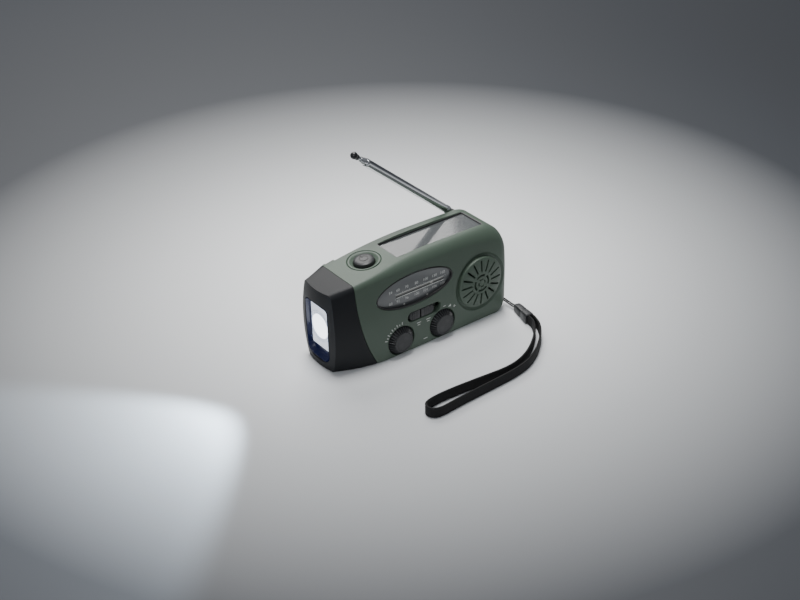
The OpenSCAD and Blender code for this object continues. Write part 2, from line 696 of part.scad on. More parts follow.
module antenna_tube() color("dimgray") at_antenna() {
    difference() {
        union() {
            rod_y(0, 0, -tongue_t / 2, tongue_t / 2, tongue_r - 0.3);
            block([0, -tongue_t / 2, -1.8], [tube_start + 0.5, tongue_t / 2, 1.8]);
        }
        rod_y(0, 0, -3, 3, 1 + fit);
    }
    rod_x(tube_start, tube_start + 4, 0, 0, tube_r + 0.15);
    difference() {
        rod_x(tube_start + 4, tube_end, 0, 0, tube_r);
        rod_x(tube_start + 6, tube_end + 1, 0, 0, tube_r - 0.35);
    }
}
module antenna_part(r, start, end, bore) difference() {
    rod_x(start, end, 0, 0, r);
    if (bore > 0) rod_x(start - 1, end + 1, 0, 0, bore);
}
module antenna_section_2() color("silver") at_antenna()
    antenna_part(tube_r - 0.42, 13.4, tube_end + section_step, tube_r - 0.75);
module antenna_section_3() color("silver") at_antenna()
    antenna_part(tube_r - 0.82, 15.2, tube_end + 2 * section_step, tube_r - 1.15);
module antenna_tip() color("black") at_antenna() {
    rod_x(17, antenna_l, 0, 0, tube_r - 1.22);
    translate([antenna_l, 0, 0]) sphere(ball_r);
}

module usb_socket() color("silver") difference() {
    block([board_x, port_y - 6.6, usb_z - 2.85], [port_x, port_y + 6.6, usb_z + 2.85]);
    block([52.2, port_y - 6.3, usb_z - 2.55], [port_x + 1, port_y + 6.3, usb_z + 2.55]);
}
module charge_socket() color("silver") difference() {
    block([board_x, port_y - 4, charge_z - 1.6], [port_x, port_y + 4, charge_z + 1.6]);
    block([56.4, port_y - 3.5, charge_z - 1.1], [port_x + 1, port_y + 3.5, charge_z + 1.1]);
}
module port_board() color("seagreen") block([board_x - 1.4, port_y - 8.4, 20.4], [board_x, port_y + 8.8, 40.4]);
module charge_lamp() color("red") rod_x(board_x, port_x, port_y + 7.4, charge_z, 1.2);
module port_cover() color("dimgray")
    block([port_x + 0.15, port_y - port_w / 2 + 0.3, port_z0 + 0.3],
          [end_x - 0.2, port_y + port_w / 2 - 0.3, port_z0 + port_h - 0.3]);
module case_screws() color("gray") for (p = screw_places) {
    rod_y(p[0], p[1], 4, back_y - 1.6, 1);
    rod_y(p[0], p[1], back_y - 1.6, back_y - 0.3, 2.4);
}

module strap_pin() color("silver")
    translate([strap_pin_x, strap_pin_y, 2.6]) cylinder(r = 1, h = 6);

function unit(v) = v / norm(v);
function tangent(p, i) =
    let (n = len(p)) unit(p[min(i + 1, n - 1)] - p[max(i - 1, 0)]);
// Rings of a round cord: each ring stands square to the route
function cord_ring(p, i, r, n) = let (t = tangent(p, i), s = unit(cross(t, [0, 0, 1])),
    u = cross(s, t)) [for (k = [0:n - 1]) p[i] + r * (cos(k * 360 / n) * s + sin(k * 360 / n) * u)];
// Rings of flat webbing on edge: half its thickness aside, its width upwards
function web_ring(p, i, t2, w) = let (t = tangent(p, i), s = unit([t[1], -t[0], 0]))
    [for (q = [[-1, 0.15], [-0.7, 0], [0.7, 0], [1, 0.15], [1, 0.85], [0.7, 1], [-0.7, 1], [-1, 0.85]])
        [p[i][0], p[i][1], 0] + t2 * q[0] * s + [0, 0, w * q[1]]];
module swept(rings) {
    n = len(rings[0]);
    m = len(rings);
    polyhedron(points = [for (r = rings) for (q = r) q],
        faces = concat(
            [[for (k = [0:n - 1]) k]],
            [for (i = [0:m - 2]) for (k = [0:n - 1])
                [i * n + k, (i + 1) * n + k, (i + 1) * n + (k + 1) % n, i * n + (k + 1) % n]],
            [[for (k = [0:n - 1]) (m - 1) * n + n - 1 - k]]));
}
module strap_cord() color("black")
    swept([for (i = [0:len(cord_route) - 1]) cord_ring(cord_route, i, cord_r, 8)]);
module strap_webbing() color("black")
    swept([for (i = [0:len(web_route) - 1]) web_ring(web_route, i, web_t / 2, web_w)]);
module strap_clamp() color("dimgray") hull() {
    translate([66, -27.4, 0]) block([-1.9, -0.6, 0], [1.9, 0.6, 3.6]);
    translate([61.8, -43.2, 0]) block([-2.9, -0.6, 0], [2.9, 0.6, web_w + 0.4]);
}

front_shell();
rear_shell();
torch_head();
torch_lens();
torch_reflector();
torch_led();
torch_button();
torch_switch();
solar_cover();
solar_cell();
dial_plate();
dial_rail();
dial_pointer();
dial_cord();
cord_guides();
tuning_knob();
tuning_drum();
tuning_capacitor();
volume_knob();
volume_control();
band_switch_cap();
band_switch_body();
speaker_cloth();
speaker_frame();
speaker_cone();
speaker_magnet();
main_board();
battery_pack();
ferrite_rod();
antenna_coil();
gearbox_plate();
drive_gear();
intermediate_gear();
generator_pinion();
generator();
crank_arm();
crank_handle();
handle_pin();
antenna_bracket();
bracket_screws();
antenna_screw();
antenna_tube();
antenna_section_2();
antenna_section_3();
antenna_tip();
usb_socket();
charge_socket();
port_board();
port_cover();
charge_lamp();
case_screws();
strap_pin();
strap_cord();
strap_clamp();
strap_webbing();
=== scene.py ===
import math

import bmesh
import bpy
from mathutils import Matrix, Vector


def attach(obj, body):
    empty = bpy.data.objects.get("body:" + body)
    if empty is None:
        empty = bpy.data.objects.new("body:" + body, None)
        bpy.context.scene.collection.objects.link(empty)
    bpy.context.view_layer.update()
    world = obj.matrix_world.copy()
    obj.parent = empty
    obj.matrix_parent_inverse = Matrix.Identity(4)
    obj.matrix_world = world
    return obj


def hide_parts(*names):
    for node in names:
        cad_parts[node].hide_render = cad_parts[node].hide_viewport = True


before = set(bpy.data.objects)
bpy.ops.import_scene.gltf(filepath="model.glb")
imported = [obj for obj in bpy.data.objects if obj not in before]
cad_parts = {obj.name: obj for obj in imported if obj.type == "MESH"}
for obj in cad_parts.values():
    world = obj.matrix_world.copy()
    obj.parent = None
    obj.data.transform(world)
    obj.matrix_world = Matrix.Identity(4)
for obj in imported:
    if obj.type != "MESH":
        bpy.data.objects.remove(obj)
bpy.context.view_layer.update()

MM = 0.001
rad = math.radians
sin = math.sin
cos = math.cos
pi = math.pi

# ---------------------------------------------------------------- camera
AZ, EL, ROLL = rad(-36.524), rad(31.657), rad(-1.21)
back = Vector((sin(AZ) * cos(EL), -cos(AZ) * cos(EL), sin(EL)))
side = Vector((0, 0, 1)).cross(back).normalized()
up = back.cross(side)
right = cos(ROLL) * side + sin(ROLL) * up
above = -sin(ROLL) * side + cos(ROLL) * up
cam_data = bpy.data.cameras.new("camera")
cam_data.sensor_width = 36
cam_data.lens = 58.5
cam_data.clip_start = 0.01
cam = bpy.data.objects.new("camera", cam_data)
cam.matrix_world = Matrix.Translation(Vector((-0.39565, -0.53009, 0.42759))) @ Matrix(
    (right, above, back)).transposed().to_4x4()
bpy.context.scene.collection.objects.link(cam)
bpy.context.scene.camera = cam


# ---------------------------------------------------------------- helpers
def turns(n):
    """n angles spread evenly over a full turn."""
    return [2 * pi * k / n for k in range(n)]


def circle(x, z, r, n):
    """n points round a circle in a plane."""
    return [(x + r * cos(a), z + r * sin(a)) for a in turns(n)]


def arc_points(cx, cz, r, a0, a1, n):
    """Points on an arc from a0 to a1 degrees, both ends included."""
    return [(cx + r * cos(a), cz + r * sin(a))
            for a in [rad(a0 + (a1 - a0) * i / n) for i in range(n + 1)]]


def along_x(y, z, x):
    """An outline in y and z, stacked along x."""
    return x, y, z


def along_y(x, z, y):
    """An outline in x and z, stacked along y."""
    return x, y, z


def along_z(x, y, z):
    """An outline in x and y, stacked along z."""
    return x, y, z


def into_front(x, z, h):
    """An outline in x and z, a distance h in front of y = 0."""
    return x, -h, z


def make(name, verts, faces, angle=32, material=None, body="radio"):
    """A mesh piece from millimetre points, smooth except where faces meet at an angle."""
    me = bpy.data.meshes.new(name)
    me.from_pydata([tuple(c * MM for c in v) for v in verts], [], [tuple(f) for f in faces])
    me.update()
    ob = bpy.data.objects.new(name, me)
    bpy.context.scene.collection.objects.link(ob)
    tidy(ob, angle)
    if material:
        me.materials.append(material)
    if body:
        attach(ob, body)
    return ob


def tidy(ob, angle=32):
    """Outward normals, and smooth shading except where faces meet at more than the angle."""
    bm = bmesh.new()
    bm.from_mesh(ob.data)
    bmesh.ops.recalc_face_normals(bm, faces=bm.faces)
    bm.to_mesh(ob.data)
    bm.free()
    for p in ob.data.polygons:
        p.use_smooth = True
    ob.data.set_sharp_from_angle(angle=rad(angle))


def shape(name, verts, faces):
    """A mesh that is cut or joined later, so it has no material or body yet."""
    return make(name, verts, faces, body=None)


def combine(ob, other, operation):
    """Applies a boolean to ob and removes the other mesh."""
    m = ob.modifiers.new("cut", "BOOLEAN")
    m.operation = operation
    m.object = other
    m.solver = "MANIFOLD"
    dg = bpy.context.evaluated_depsgraph_get()
    me = bpy.data.meshes.new_from_object(ob.evaluated_get(dg))
    ob.modifiers.clear()
    old = ob.data
    ob.data = me
    bpy.data.meshes.remove(old)
    bpy.data.objects.remove(other)
    return ob


def cut(ob, other):
    return combine(ob, other, "DIFFERENCE")


def add(ob, other):
    return combine(ob, other, "UNION")


def keep(ob, other):
    return combine(ob, other, "INTERSECT")


def finish_piece(ob, material, body="radio", nodes=(), angle=32):
    """Gives a cut shape its material and its body, and hides the CAD nodes it stands for."""
    ob.data.materials.clear()
    ob.data.materials.append(material)
    tidy(ob, angle)
    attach(ob, body)
    if nodes:
        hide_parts(*nodes)
    return ob


def tube_mesh(rings, closed=True, caps=True):
    """Points and faces of a skin over rings of equal length."""
    n = len(rings[0])
    verts = [p for r in rings for p in r]
    faces = []
    for i in range(len(rings) - 1):
        for k in range(n if closed else n - 1):
            a, b = i * n + k, i * n + (k + 1) % n
            faces.append((a, b, b + n, a + n))
    if caps:
        faces.append(tuple(range(n)))
        faces.append(tuple(reversed(range((len(rings) - 1) * n, len(rings) * n))))
    return verts, faces


def band(name, rings, **kw):
    """A closed skin, whose last ring joins its first."""
    return make(name, *tube_mesh(rings + [rings[0]], caps=False), **kw)


def lathe(name, profile, place, n=72, **kw):
    """Profile of (radius, height) turned about an axis; place(x, y, h) puts a point in space."""
    verts, faces, rows = [], [], []
    for r, h in profile:
        if r < 1e-6:
            rows.append([len(verts)] * n)
            verts.append(place(0, 0, h))
        else:
            rows.append(list(range(len(verts), len(verts) + n)))
            verts += [place(r * cos(a), r * sin(a), h) for a in turns(n)]
    for a, b in zip(rows, rows[1:]):
        for k in range(n):
            f = [a[k], a[(k + 1) % n], b[(k + 1) % n], b[k]]
            f = [v for i, v in enumerate(f) if v not in f[:i]]
            if len(f) > 2:
                faces.append(f)
    is_open = profile[0] != profile[-1]
    if is_open and profile[0][0] > 1e-6:
        faces.append(rows[0])
    if is_open and profile[-1][0] > 1e-6:
        faces.append(rows[-1][::-1])
    return make(name, verts, faces, **kw)


def ring_solid(name, loop, place, n=72, **kw):
    """A closed cross-section loop of (radius, height) turned all the way round."""
    m = len(loop)
    verts = [place(r * cos(a), r * sin(a), h) for a in turns(n) for r, h in loop]
    faces = [(k * m + i, k * m + (i + 1) % m, (k + 1) % n * m + (i + 1) % m, (k + 1) % n * m + i)
             for k in range(n) for i in range(m)]
    return make(name, verts, faces, **kw)


def box_mesh(lo, hi):
    v = [(x, y, z) for x in (lo[0], hi[0]) for y in (lo[1], hi[1]) for z in (lo[2], hi[2])]
    f = [(0, 1, 3, 2), (4, 6, 7, 5), (0, 4, 5, 1), (2, 3, 7, 6), (0, 2, 6, 4), (1, 5, 7, 3)]
    return v, f


def block(name, lo, hi):
    return shape(name, *box_mesh(lo, hi))


def outline_solid(name, points, place, heights, scales=None, **kw):
    """A closed outline stacked at several heights; scales moves it outwards at each."""
    rings = []
    n = len(points)
    for i, h in enumerate(heights):
        grow = scales[i] if scales else 0
        ring = []
        for k in range(n):
            ax, ay = points[k - 1]
            bx, by = points[(k + 1) % n]
            tx, ty = bx - ax, by - ay
            d = math.hypot(tx, ty) or 1
            ring.append(place(points[k][0] + grow * ty / d, points[k][1] - grow * tx / d, h))
        rings.append(ring)
    return make(name, *tube_mesh(rings), **kw)


def stadium(x0, x1, z, h, n=14):
    """Outline of a slot with round ends, from x0 to x1, h high, with its middle at z."""
    r = h / 2
    return arc_points(x1 - r, z, r, -90, 90, n) + arc_points(x0 + r, z, r, 90, 270, n)


def rounded(x0, x1, z0, z1, r, n=6):
    """Outline of a rectangle with rounded corners."""
    out = []
    for cx, cz, a0 in ((x1 - r, z0 + r, -90), (x1 - r, z1 - r, 0), (x0 + r, z1 - r, 90),
                       (x0 + r, z0 + r, 180)):
        out += arc_points(cx, cz, r, a0, a0 + 90, n)
    return out


def mix(a, b, t):
    """Smooth change from a to b as t goes from 0 to 1."""
    t = min(max(t, 0), 1)
    t = t * t * (3 - 2 * t)
    return a + (b - a) * t


# ---------------------------------------------------------------- materials
def set_inputs(node, **values):
    """Sets a node's inputs by name, with an underscore for a space."""
    for key, value in values.items():
        node.inputs[key.replace("_", " ")].default_value = value
    return node


def material(name, colour, rough, metal=0.0, bump=0.0, scale=900, spread=0.0, spot=40,
             rough_spread=0.0, coat=0.0, specular=0.5, sheen=0.0, emission=None, strength=0.0,
             alpha=1.0, edge_highlight=0.0, edge_highlight_colour=(0.2, 0.22, 0.2)):
    """A surface with uneven colour (spread, spot), a lighter colour on sharp edges as painted
    highlight, fine bump and uneven gloss.
    """
    m = bpy.data.materials.new(name)
    m.use_nodes = True
    new, link = m.node_tree.nodes.new, m.node_tree.links.new
    b = set_inputs(m.node_tree.nodes["Principled BSDF"], Base_Color=(*colour, 1),
                   Roughness=rough, Metallic=metal, Coat_Weight=coat, Coat_Roughness=0.08,
                   Specular_IOR_Level=specular, Sheen_Weight=sheen, Alpha=alpha)
    if emission:
        set_inputs(b, Emission_Color=(*emission, 1), Emission_Strength=strength)
    tc = new("ShaderNodeTexCoord")
    if spread or edge_highlight:
        n1 = set_inputs(new("ShaderNodeTexNoise"), Scale=spot, Detail=4)
        link(tc.outputs["Object"], n1.inputs["Vector"])
        ramp = set_inputs(new("ShaderNodeMapRange"), From_Min=0.3, From_Max=0.7,
                          To_Min=1 - spread, To_Max=1 + spread)
        link(n1.outputs["Fac"], ramp.inputs["Value"])
        mul = new("ShaderNodeVectorMath")
        mul.operation = "SCALE"
        mul.inputs[0].default_value = colour
        link(ramp.outputs["Result"], mul.inputs["Scale"])
        out = mul.outputs["Vector"]
        # Sharp edges (high pointiness) get a lighter colour: a painted highlight
        if edge_highlight:
            geo = new("ShaderNodeNewGeometry")
            edge = set_inputs(new("ShaderNodeMapRange"), From_Min=0.53, From_Max=0.62,
                              To_Max=edge_highlight)
            link(geo.outputs["Pointiness"], edge.inputs["Value"])
            blend = new("ShaderNodeMix")
            blend.data_type = "RGBA"
            set_inputs(blend, B=(*edge_highlight_colour, 1))
            link(edge.outputs["Result"], blend.inputs["Factor"])
            link(out, blend.inputs["A"])
            out = blend.outputs["Result"]
        link(out, b.inputs["Base Color"])
    if bump or rough_spread:
        n2 = set_inputs(new("ShaderNodeTexNoise"), Scale=scale, Detail=3)
        link(tc.outputs["Object"], n2.inputs["Vector"])
        if bump:
            bp = set_inputs(new("ShaderNodeBump"), Strength=bump, Distance=0.0002)
            link(n2.outputs["Fac"], bp.inputs["Height"])
            link(bp.outputs["Normal"], b.inputs["Normal"])
        if rough_spread:
            rr = set_inputs(new("ShaderNodeMapRange"), To_Min=rough - rough_spread,
                            To_Max=rough + rough_spread)
            link(n2.outputs["Fac"], rr.inputs["Value"])
            link(rr.outputs["Result"], b.inputs["Roughness"])
    return m


def banded(name, colour, rough, direction, pitch, depth, colour2=None, metal=0.0, sheen=0.0):
    """A material with fine parallel ribs, for webbing, threads and windings."""
    m = material(name, colour, rough, metal=metal, sheen=sheen)
    new, link = m.node_tree.nodes.new, m.node_tree.links.new
    b = m.node_tree.nodes["Principled BSDF"]
    tc = new("ShaderNodeTexCoord")
    wave = new("ShaderNodeTexWave")
    wave.bands_direction = direction
    set_inputs(wave, Scale=0.314 / pitch, Distortion=0.6, Detail=2)
    link(tc.outputs["Object"], wave.inputs["Vector"])
    bp = set_inputs(new("ShaderNodeBump"), Strength=0.6, Distance=depth)
    link(wave.outputs["Fac"], bp.inputs["Height"])
    link(bp.outputs["Normal"], b.inputs["Normal"])
    blend = new("ShaderNodeMix")
    blend.data_type = "RGBA"
    set_inputs(blend, A=(*colour, 1), B=(*(colour2 or [c * 1.7 for c in colour]), 1))
    link(wave.outputs["Fac"], blend.inputs["Factor"])
    link(blend.outputs["Result"], b.inputs["Base Color"])
    return m


# On the materials below, the lighter colour on sharp edges is a painted highlight
green = material("casing_plastic", (0.066, 0.097, 0.071), 0.5, bump=0.25, scale=2600,
                 spread=0.07, spot=30, rough_spread=0.08, edge_highlight=0.25,
                 edge_highlight_colour=(0.11, 0.15, 0.105))
black = material("head_plastic", (0.0085, 0.0095, 0.0115), 0.48, bump=0.3, scale=2600,
                 spread=0.1, spot=30, rough_spread=0.08, edge_highlight=0.2, specular=0.26,
                 edge_highlight_colour=(0.03, 0.032, 0.035))
grey = material("control_plastic", (0.019, 0.02, 0.022), 0.42, bump=0.2, scale=2400,
                spread=0.1, spot=50, rough_spread=0.08, edge_highlight=0.3, edge_highlight_colour=(0.09, 0.09, 0.09))
dark = material("dark_plastic", (0.008, 0.008, 0.009), 0.55, bump=0.2, scale=2000, spread=0.1)
# The dial plate's grey is set lighter than its own colour to stand in for reflected light: grey
# plate plus painted reflection
plate = material("dial_grey_and_painted_sheen", (0.12, 0.127, 0.13), 0.3, bump=0.06, scale=1800, spread=0.06,
                 coat=0.5)
rim = material("dial_rim_lacquer", (0.006, 0.006, 0.007), 0.3, coat=0.4, bump=0.05, spread=0.05)
ink = material("white_print", (0.62, 0.63, 0.6), 0.55, spread=0.05, bump=0.1, spot=300)
steel = material("polished_steel", (0.62, 0.63, 0.65), 0.16, metal=1, rough_spread=0.06,
                 scale=500, bump=0.05, spread=0.04)
tin = material("plated_steel", (0.5, 0.5, 0.5), 0.35, metal=1, rough_spread=0.1, scale=300,
               bump=0.1, spread=0.08)
solar_glass = material("solar_cover_plastic", (0.12, 0.128, 0.132), 0.09, bump=0.03,
                       scale=60, spread=0.05, spot=20, rough_spread=0.04, alpha=0.7)
lit = material("lit_lens", (0.7, 0.74, 0.8), 0.25, spread=0.15, spot=160, bump=0.3, scale=500,
               emission=(0.78, 0.84, 0.95), strength=0.75)
glow = material("led_glow", (1, 1, 1), 0.3, emission=(0.84, 0.9, 1.0), strength=3.2, spread=0.02)
facet = material("lens_step", (0.3, 0.36, 0.5), 0.3, spread=0.1, emission=(0.35, 0.42, 0.6),
                 strength=0.5)
# The torch funnel walls glow faintly blue: painted light from the torch LED falling on them, not a
# lamp
painted_led_light_wall = material("lit_wall", (0.004, 0.006, 0.02), 0.22, emission=(0.02, 0.035, 0.2),
                     strength=0.1, bump=0.1, spread=0.3, spot=120)
white = material("white_moulding", (0.62, 0.62, 0.58), 0.42, bump=0.1, scale=1500, spread=0.05)
board = material("board_lacquer", (0.02, 0.12, 0.05), 0.35, bump=0.2, scale=700, spread=0.2,
                 spot=160, coat=0.3)
cellblue = material("cell_sleeve", (0.03, 0.08, 0.26), 0.3, bump=0.05, scale=400, spread=0.05,
                    coat=0.3)
rubber = material("flap_rubber", (0.014, 0.014, 0.014), 0.7, bump=0.3, scale=2200, spread=0.1,
                  edge_highlight=0.2, edge_highlight_colour=(0.04, 0.04, 0.04))
red = material("lamp_red", (0.5, 0.03, 0.02), 0.2, spread=0.05, bump=0.02, coat=0.4)
copper = banded("wound_wire", (0.42, 0.16, 0.05), 0.3, "X", 0.35, 0.0002, metal=1)
thread = banded("cord_thread", (0.3, 0.26, 0.17), 0.8, "X", 0.5, 0.0002, sheen=0.3)
cloth = banded("speaker_cloth_weave", (0.006, 0.006, 0.006), 0.9, "Z", 0.5, 0.0002, sheen=0.2)
web = banded("webbing_weave", (0.0015, 0.0015, 0.002), 0.85, "Z", 0.9, 0.0003,
             colour2=(0.004, 0.004, 0.005), sheen=0.0)
strand = banded("cord_braid", (0.01, 0.01, 0.011), 0.7, "Y", 0.7, 0.0002,
                colour2=(0.045, 0.045, 0.045), sheen=0.3)
crystal = banded("solar_cells", (0.012, 0.014, 0.02), 0.18, "X", 2.4, 0.00005,
                 colour2=(0.035, 0.04, 0.05))

# ---------------------------------------------------------------- cords first
cord_route = [(65.1, -26.7, 2.1), (65.0, -25, 2.1), (64.8, -21, 2.4), (64.0, -17.5, 3.4),
              (62.6, -14.9, 4.7), (60.6, -13.4, 5.3), (58.7, -13.3, 5.4), (57.5, -12.2, 5.4),
              (57.4, -10.7, 5.4), (58.6, -9.5, 5.4), (60.4, -9.4, 5.4), (62.2, -10.4, 5.3),
              (63.9, -12.9, 4.7), (65.3, -16.6, 3.6), (66.3, -20.6, 2.4), (66.8, -24.8, 2.0),
              (66.8, -26.7, 2.0)]
web_route = [(63.5, -43.9), (62.8, -47.4), (60.2, -54), (54.8, -61.2), (47.4, -68), (38.6, -74.2),
             (29, -78.6), (18, -80.8), (6, -81.6), (-6, -82), (-18, -82.4), (-29, -83),
             (-37.5, -83.4), (-42, -82.2), (-44, -79), (-42.8, -75.6), (-38.8, -73.8),
             (-31, -73.2), (-21, -73.6), (-9, -74.6), (3, -75.8), (13, -76.6), (21.5, -76),
             (29.6, -73.8), (37.9, -69.8), (46.4, -63.9), (54.3, -56.6), (59.4, -49.4),
             (60.9, -43.9)]
WEB_W, WEB_T, CORD_R = 6.5, 1.3, 0.48


def spline(points, step):
    """Catmull-Rom curve through the points, sampled about every step."""
    pts = [Vector(p) for p in points]
    out = [pts[0]]
    for i in range(len(pts) - 1):
        a = pts[i - 1] if i else pts[0] * 2 - pts[1]
        b, c = pts[i], pts[i + 1]
        d = pts[i + 2] if i + 2 < len(pts) else c * 2 - b
        m = max(2, round((c - b).length / step))
        for k in range(1, m + 1):
            t = k / m
            out.append(0.5 * (2 * b + (c - a) * t + (2 * a - 5 * b + 4 * c - d) * t * t
                              + (3 * b - a - 3 * c + d) * t ** 3))
    return out


def frames(pts):
    """Each point with the two directions across the curve there."""
    for i, p in enumerate(pts):
        t = (pts[min(i + 1, len(pts) - 1)] - pts[max(i - 1, 0)]).normalized()
        s = t.cross(Vector((0, 0, 1))).normalized()
        yield p, s, s.cross(t)


strand_pts = spline(cord_route, 0.45)
rings = []
for i, (p, s, u) in enumerate(frames(strand_pts)):
    rings.append([tuple(p + CORD_R * (1 + 0.07 * cos(3 * a - i * 0.9))
                        * (cos(a) * s + sin(a) * u)) for a in turns(14)])
cord_ob = make("strap_loop", *tube_mesh(rings), material=strand, angle=60)
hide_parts("strap_cord")

web_pts = spline([(x, y, 0) for x, y in web_route], 0.7)
rings = []
w, h = WEB_T / 2, WEB_W
# Cross-section of the webbing: share of its half thickness, and height, with a rib at each edge
web_profile = (
    (-0.55, 0.02), (0.55, 0.02), (0.95, 0.3), (1, 0.9), (0.78, 1.2), (0.86, 1.6), (0.9, h / 2),
    (0.86, h - 1.6), (0.78, h - 1.2), (1, h - 0.9), (0.95, h - 0.3), (0.55, h - 0.02),
    (-0.55, h - 0.02), (-0.95, h - 0.3), (-1, h - 0.9), (-0.78, h - 1.2), (-0.86, h - 1.6),
    (-0.9, h / 2), (-0.86, 1.6), (-0.78, 1.2), (-1, 0.9), (-0.95, 0.3))
for i, (p, s, _) in enumerate(frames(web_pts)):
    wave = 0.05 * sin(i * 2.1)
    rings.append([tuple(Vector((p.x, p.y, z))
                        + s * (q * w + (wave if 1 < z < h - 1 else 0) * q))
                  for q, z in web_profile])
web_ob = make("strap_band", *tube_mesh(rings), material=web, angle=40)
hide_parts("strap_webbing")



# Clamp: a slim moulding that widens towards the webbing, with a groove round its middle
def squared(v):
    """Pushes a sine or cosine outwards, which makes a circle a rounded square."""
    return abs(v) ** 0.42 * (1 if v > 0 else -1)


clamp_rings = []
clamp_side = Vector((1, -0.25, 0)).normalized()
# Rows of place along the clamp from 0 to 1, half width, height
for t, hw, hh in ((0, 1.6, 4.0), (0.03, 2.1, 4.8), (0.1, 2.35, 5.2), (0.3, 2.5, 5.6),
                  (0.5, 2.6, 5.9), (0.53, 2.35, 5.6), (0.57, 2.35, 5.6), (0.6, 2.65, 6.1),
                  (0.8, 2.8, 6.5), (0.96, 2.9, 6.8), (1.0, 2.6, 6.4)):
    c = Vector((66.05 - 4.25 * t, -26.9 - 16.8 * t, 0))
    clamp_rings.append([tuple(c + clamp_side * hw * squared(cos(a))
                              + Vector((0, 0, hh / 2 * (1 + squared(sin(a))))))
                        for a in turns(28)])
clamp = make("strap_clip", *tube_mesh(clamp_rings), material=grey, angle=35)
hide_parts("strap_clamp")

# ---------------------------------------------------------------- casing surface
CROWN_X, CROWN_L, CROWN_R, TOP = 10, 308, 1100, 59.7
END_R, END_X = 16.4, 47.6
END_Z = TOP - CROWN_R + math.sqrt((CROWN_R - END_R) ** 2 - (END_X - CROWN_X) ** 2)
INNER_END_R = 14.4
BASE_R, BASE_X = 9.6, 54.4
FRONT_Y, BACK_Y = -22.1, 19.5
FRONT_END_Y, REAR_START_Y = 12.8, 12.86


def z_top(x, d=0):
    if x > END_X + END_R * (END_X - CROWN_X) / (CROWN_R - END_R):
        return END_Z + math.sqrt(max((END_R - d) ** 2 - (x - END_X) ** 2, 0))
    r = CROWN_L if x < CROWN_X else CROWN_R
    return TOP - r + math.sqrt((r - d) ** 2 - (x - CROWN_X) ** 2)


def z_base(x, d=0):
    return BASE_R - math.sqrt(max((BASE_R - d) ** 2 - (x - BASE_X) ** 2, 0)) if x > BASE_X else d


def y_front(x, d=0):
    if x > 57:
        return -15.1 - math.sqrt(max((7 - d) ** 2 - (x - 57) ** 2, 0))
    return (FRONT_Y + (x + 25) ** 2 / 225.6 if x < -25 else FRONT_Y) + d


def y_back(x, d=0):
    if x > 58:
        return 13.5 + math.sqrt(max((6 - d) ** 2 - (x - 58) ** 2, 0))
    return (BACK_Y - (x + 25) ** 2 / 391 if x < -25 else BACK_Y) - d


def bulge(x):
    return mix(1, 1.45, (-46 - x) / 16)


def lift(x, z):
    """How far the front face leans back above and below its middle."""
    low = 1.75 * (max(-30 - x, 0) / 30) ** 1.7
    return (bulge(x) if z > 25 else low) * (z - 25) ** 2 / 288


def front(x, z):
    """y of the front face."""
    return y_front(x) + lift(x, z)


def section(x, d=0):
    yf, yb, zb, zt = y_front(x, d), y_back(x, d), z_base(x, d), z_top(x, d)
    r_ft = max(mix(3, 6, (x + 46) / 50) + mix(0, 2, (x - 20) / 30) - d, 0.6)
    r_fb = max(1.5 + mix(0, 4, (x - 54) / 9) - d, 0.4)
    r_bt = max(mix(2.5, 5.5, (x + 61) / 14) - mix(0, 2.5, (x - 30) / 20) - d, 0.8)
    r_bb = max(mix(2.5, 6, (x + 61) / 14) - d, 0.8)
    pts = []

    def arc(cy, cz, r, a0, a1, n):
        for i in range(n):
            a = rad(a0 + (a1 - a0) * i / n)
            pts.append((cy + r * cos(a), cz + r * sin(a)))

    def line(p, q, n):
        for i in range(n):
            pts.append((p[0] + (q[0] - p[0]) * i / n, p[1] + (q[1] - p[1]) * i / n))

    arc(yf + r_fb, zb + r_fb, r_fb, 270, 180, 7)
    line((yf, zb + r_fb), (yf, zt - r_ft), 36)
    arc(yf + r_ft, zt - r_ft, r_ft, 180, 90, 12)
    line((yf + r_ft, zt), (yb - r_bt, zt), 22)
    arc(yb - r_bt, zt - r_bt, r_bt, 90, 0, 10)
    line((yb, zt - r_bt), (yb, zb + r_bb), 26)
    arc(yb - r_bb, zb + r_bb, r_bb, 0, -90, 8)
    line((yb - r_bb, zb), (yf + r_fb, zb), 18)
    mid = (yf + yb) / 2
    back_k = mix(0, 1.45, (-44 - x) / 17)
    out = []
    for y, z in pts:
        w = abs(y - mid) / (mid - yf)
        out.append((y + w * (lift(x, z) if y < mid else -back_k * (z - 25) ** 2 / 288), z))
    return out


def hull(name, xs, d=0):
    return shape(name, *tube_mesh([[(x, y, z) for y, z in section(x, d)] for x in xs]))


def spaced(a, b, step):
    n = max(1, round(abs(b - a) / step))
    return [a + (b - a) * i / n for i in range(n + 1)]


body_xs = spaced(-50, 45, 1.6) + [END_X + END_R * sin(rad(90 * i / 22)) for i in range(23)]
body_xs = [x for i, x in enumerate(body_xs) if i == 0 or x - body_xs[i - 1] > 0.004]
inner_xs = spaced(-49, 45, 3) + [END_X + INNER_END_R * sin(rad(90 * i / 12)) for i in range(13)]


def disc_y(name, x, z, r, y0=-40, y1=40, n=400):
    """A round bar along y."""
    return shape(name, *tube_mesh([[(px, y, pz) for px, pz in circle(x, z, r, n)]
                                   for y in (y0, y1)]))


SEAM = (54.7, 48, 102)


def seam_disc(change=0):
    """A disc whose edge is the seam between the casing and the torch head."""
    return disc_y("seam", SEAM[0], SEAM[1], SEAM[2] + change)


def on_front(cx, cz):
    """Places a turned cutter on the front face: h is how far it stands out of the face."""
    return lambda a, b, h: (cx + a, front(cx + a, cz + b) - h, cz + b)


def flat_front(cx, cz, y):
    return lambda a, b, h: (cx + a, y - h, cz + b)


def lip(r, depth, edge=0.3):
    """Profile of a round recess with a softened edge."""
    return [(0, 4), (r + edge, 4), (r + edge, 0.04), (r + edge * 0.45, -edge * 0.35),
            (r + edge * 0.1, -edge * 0.75), (r, -edge * 1.2), (r, -depth + 0.2),
            (r - 0.2, -depth), (0, -depth)]


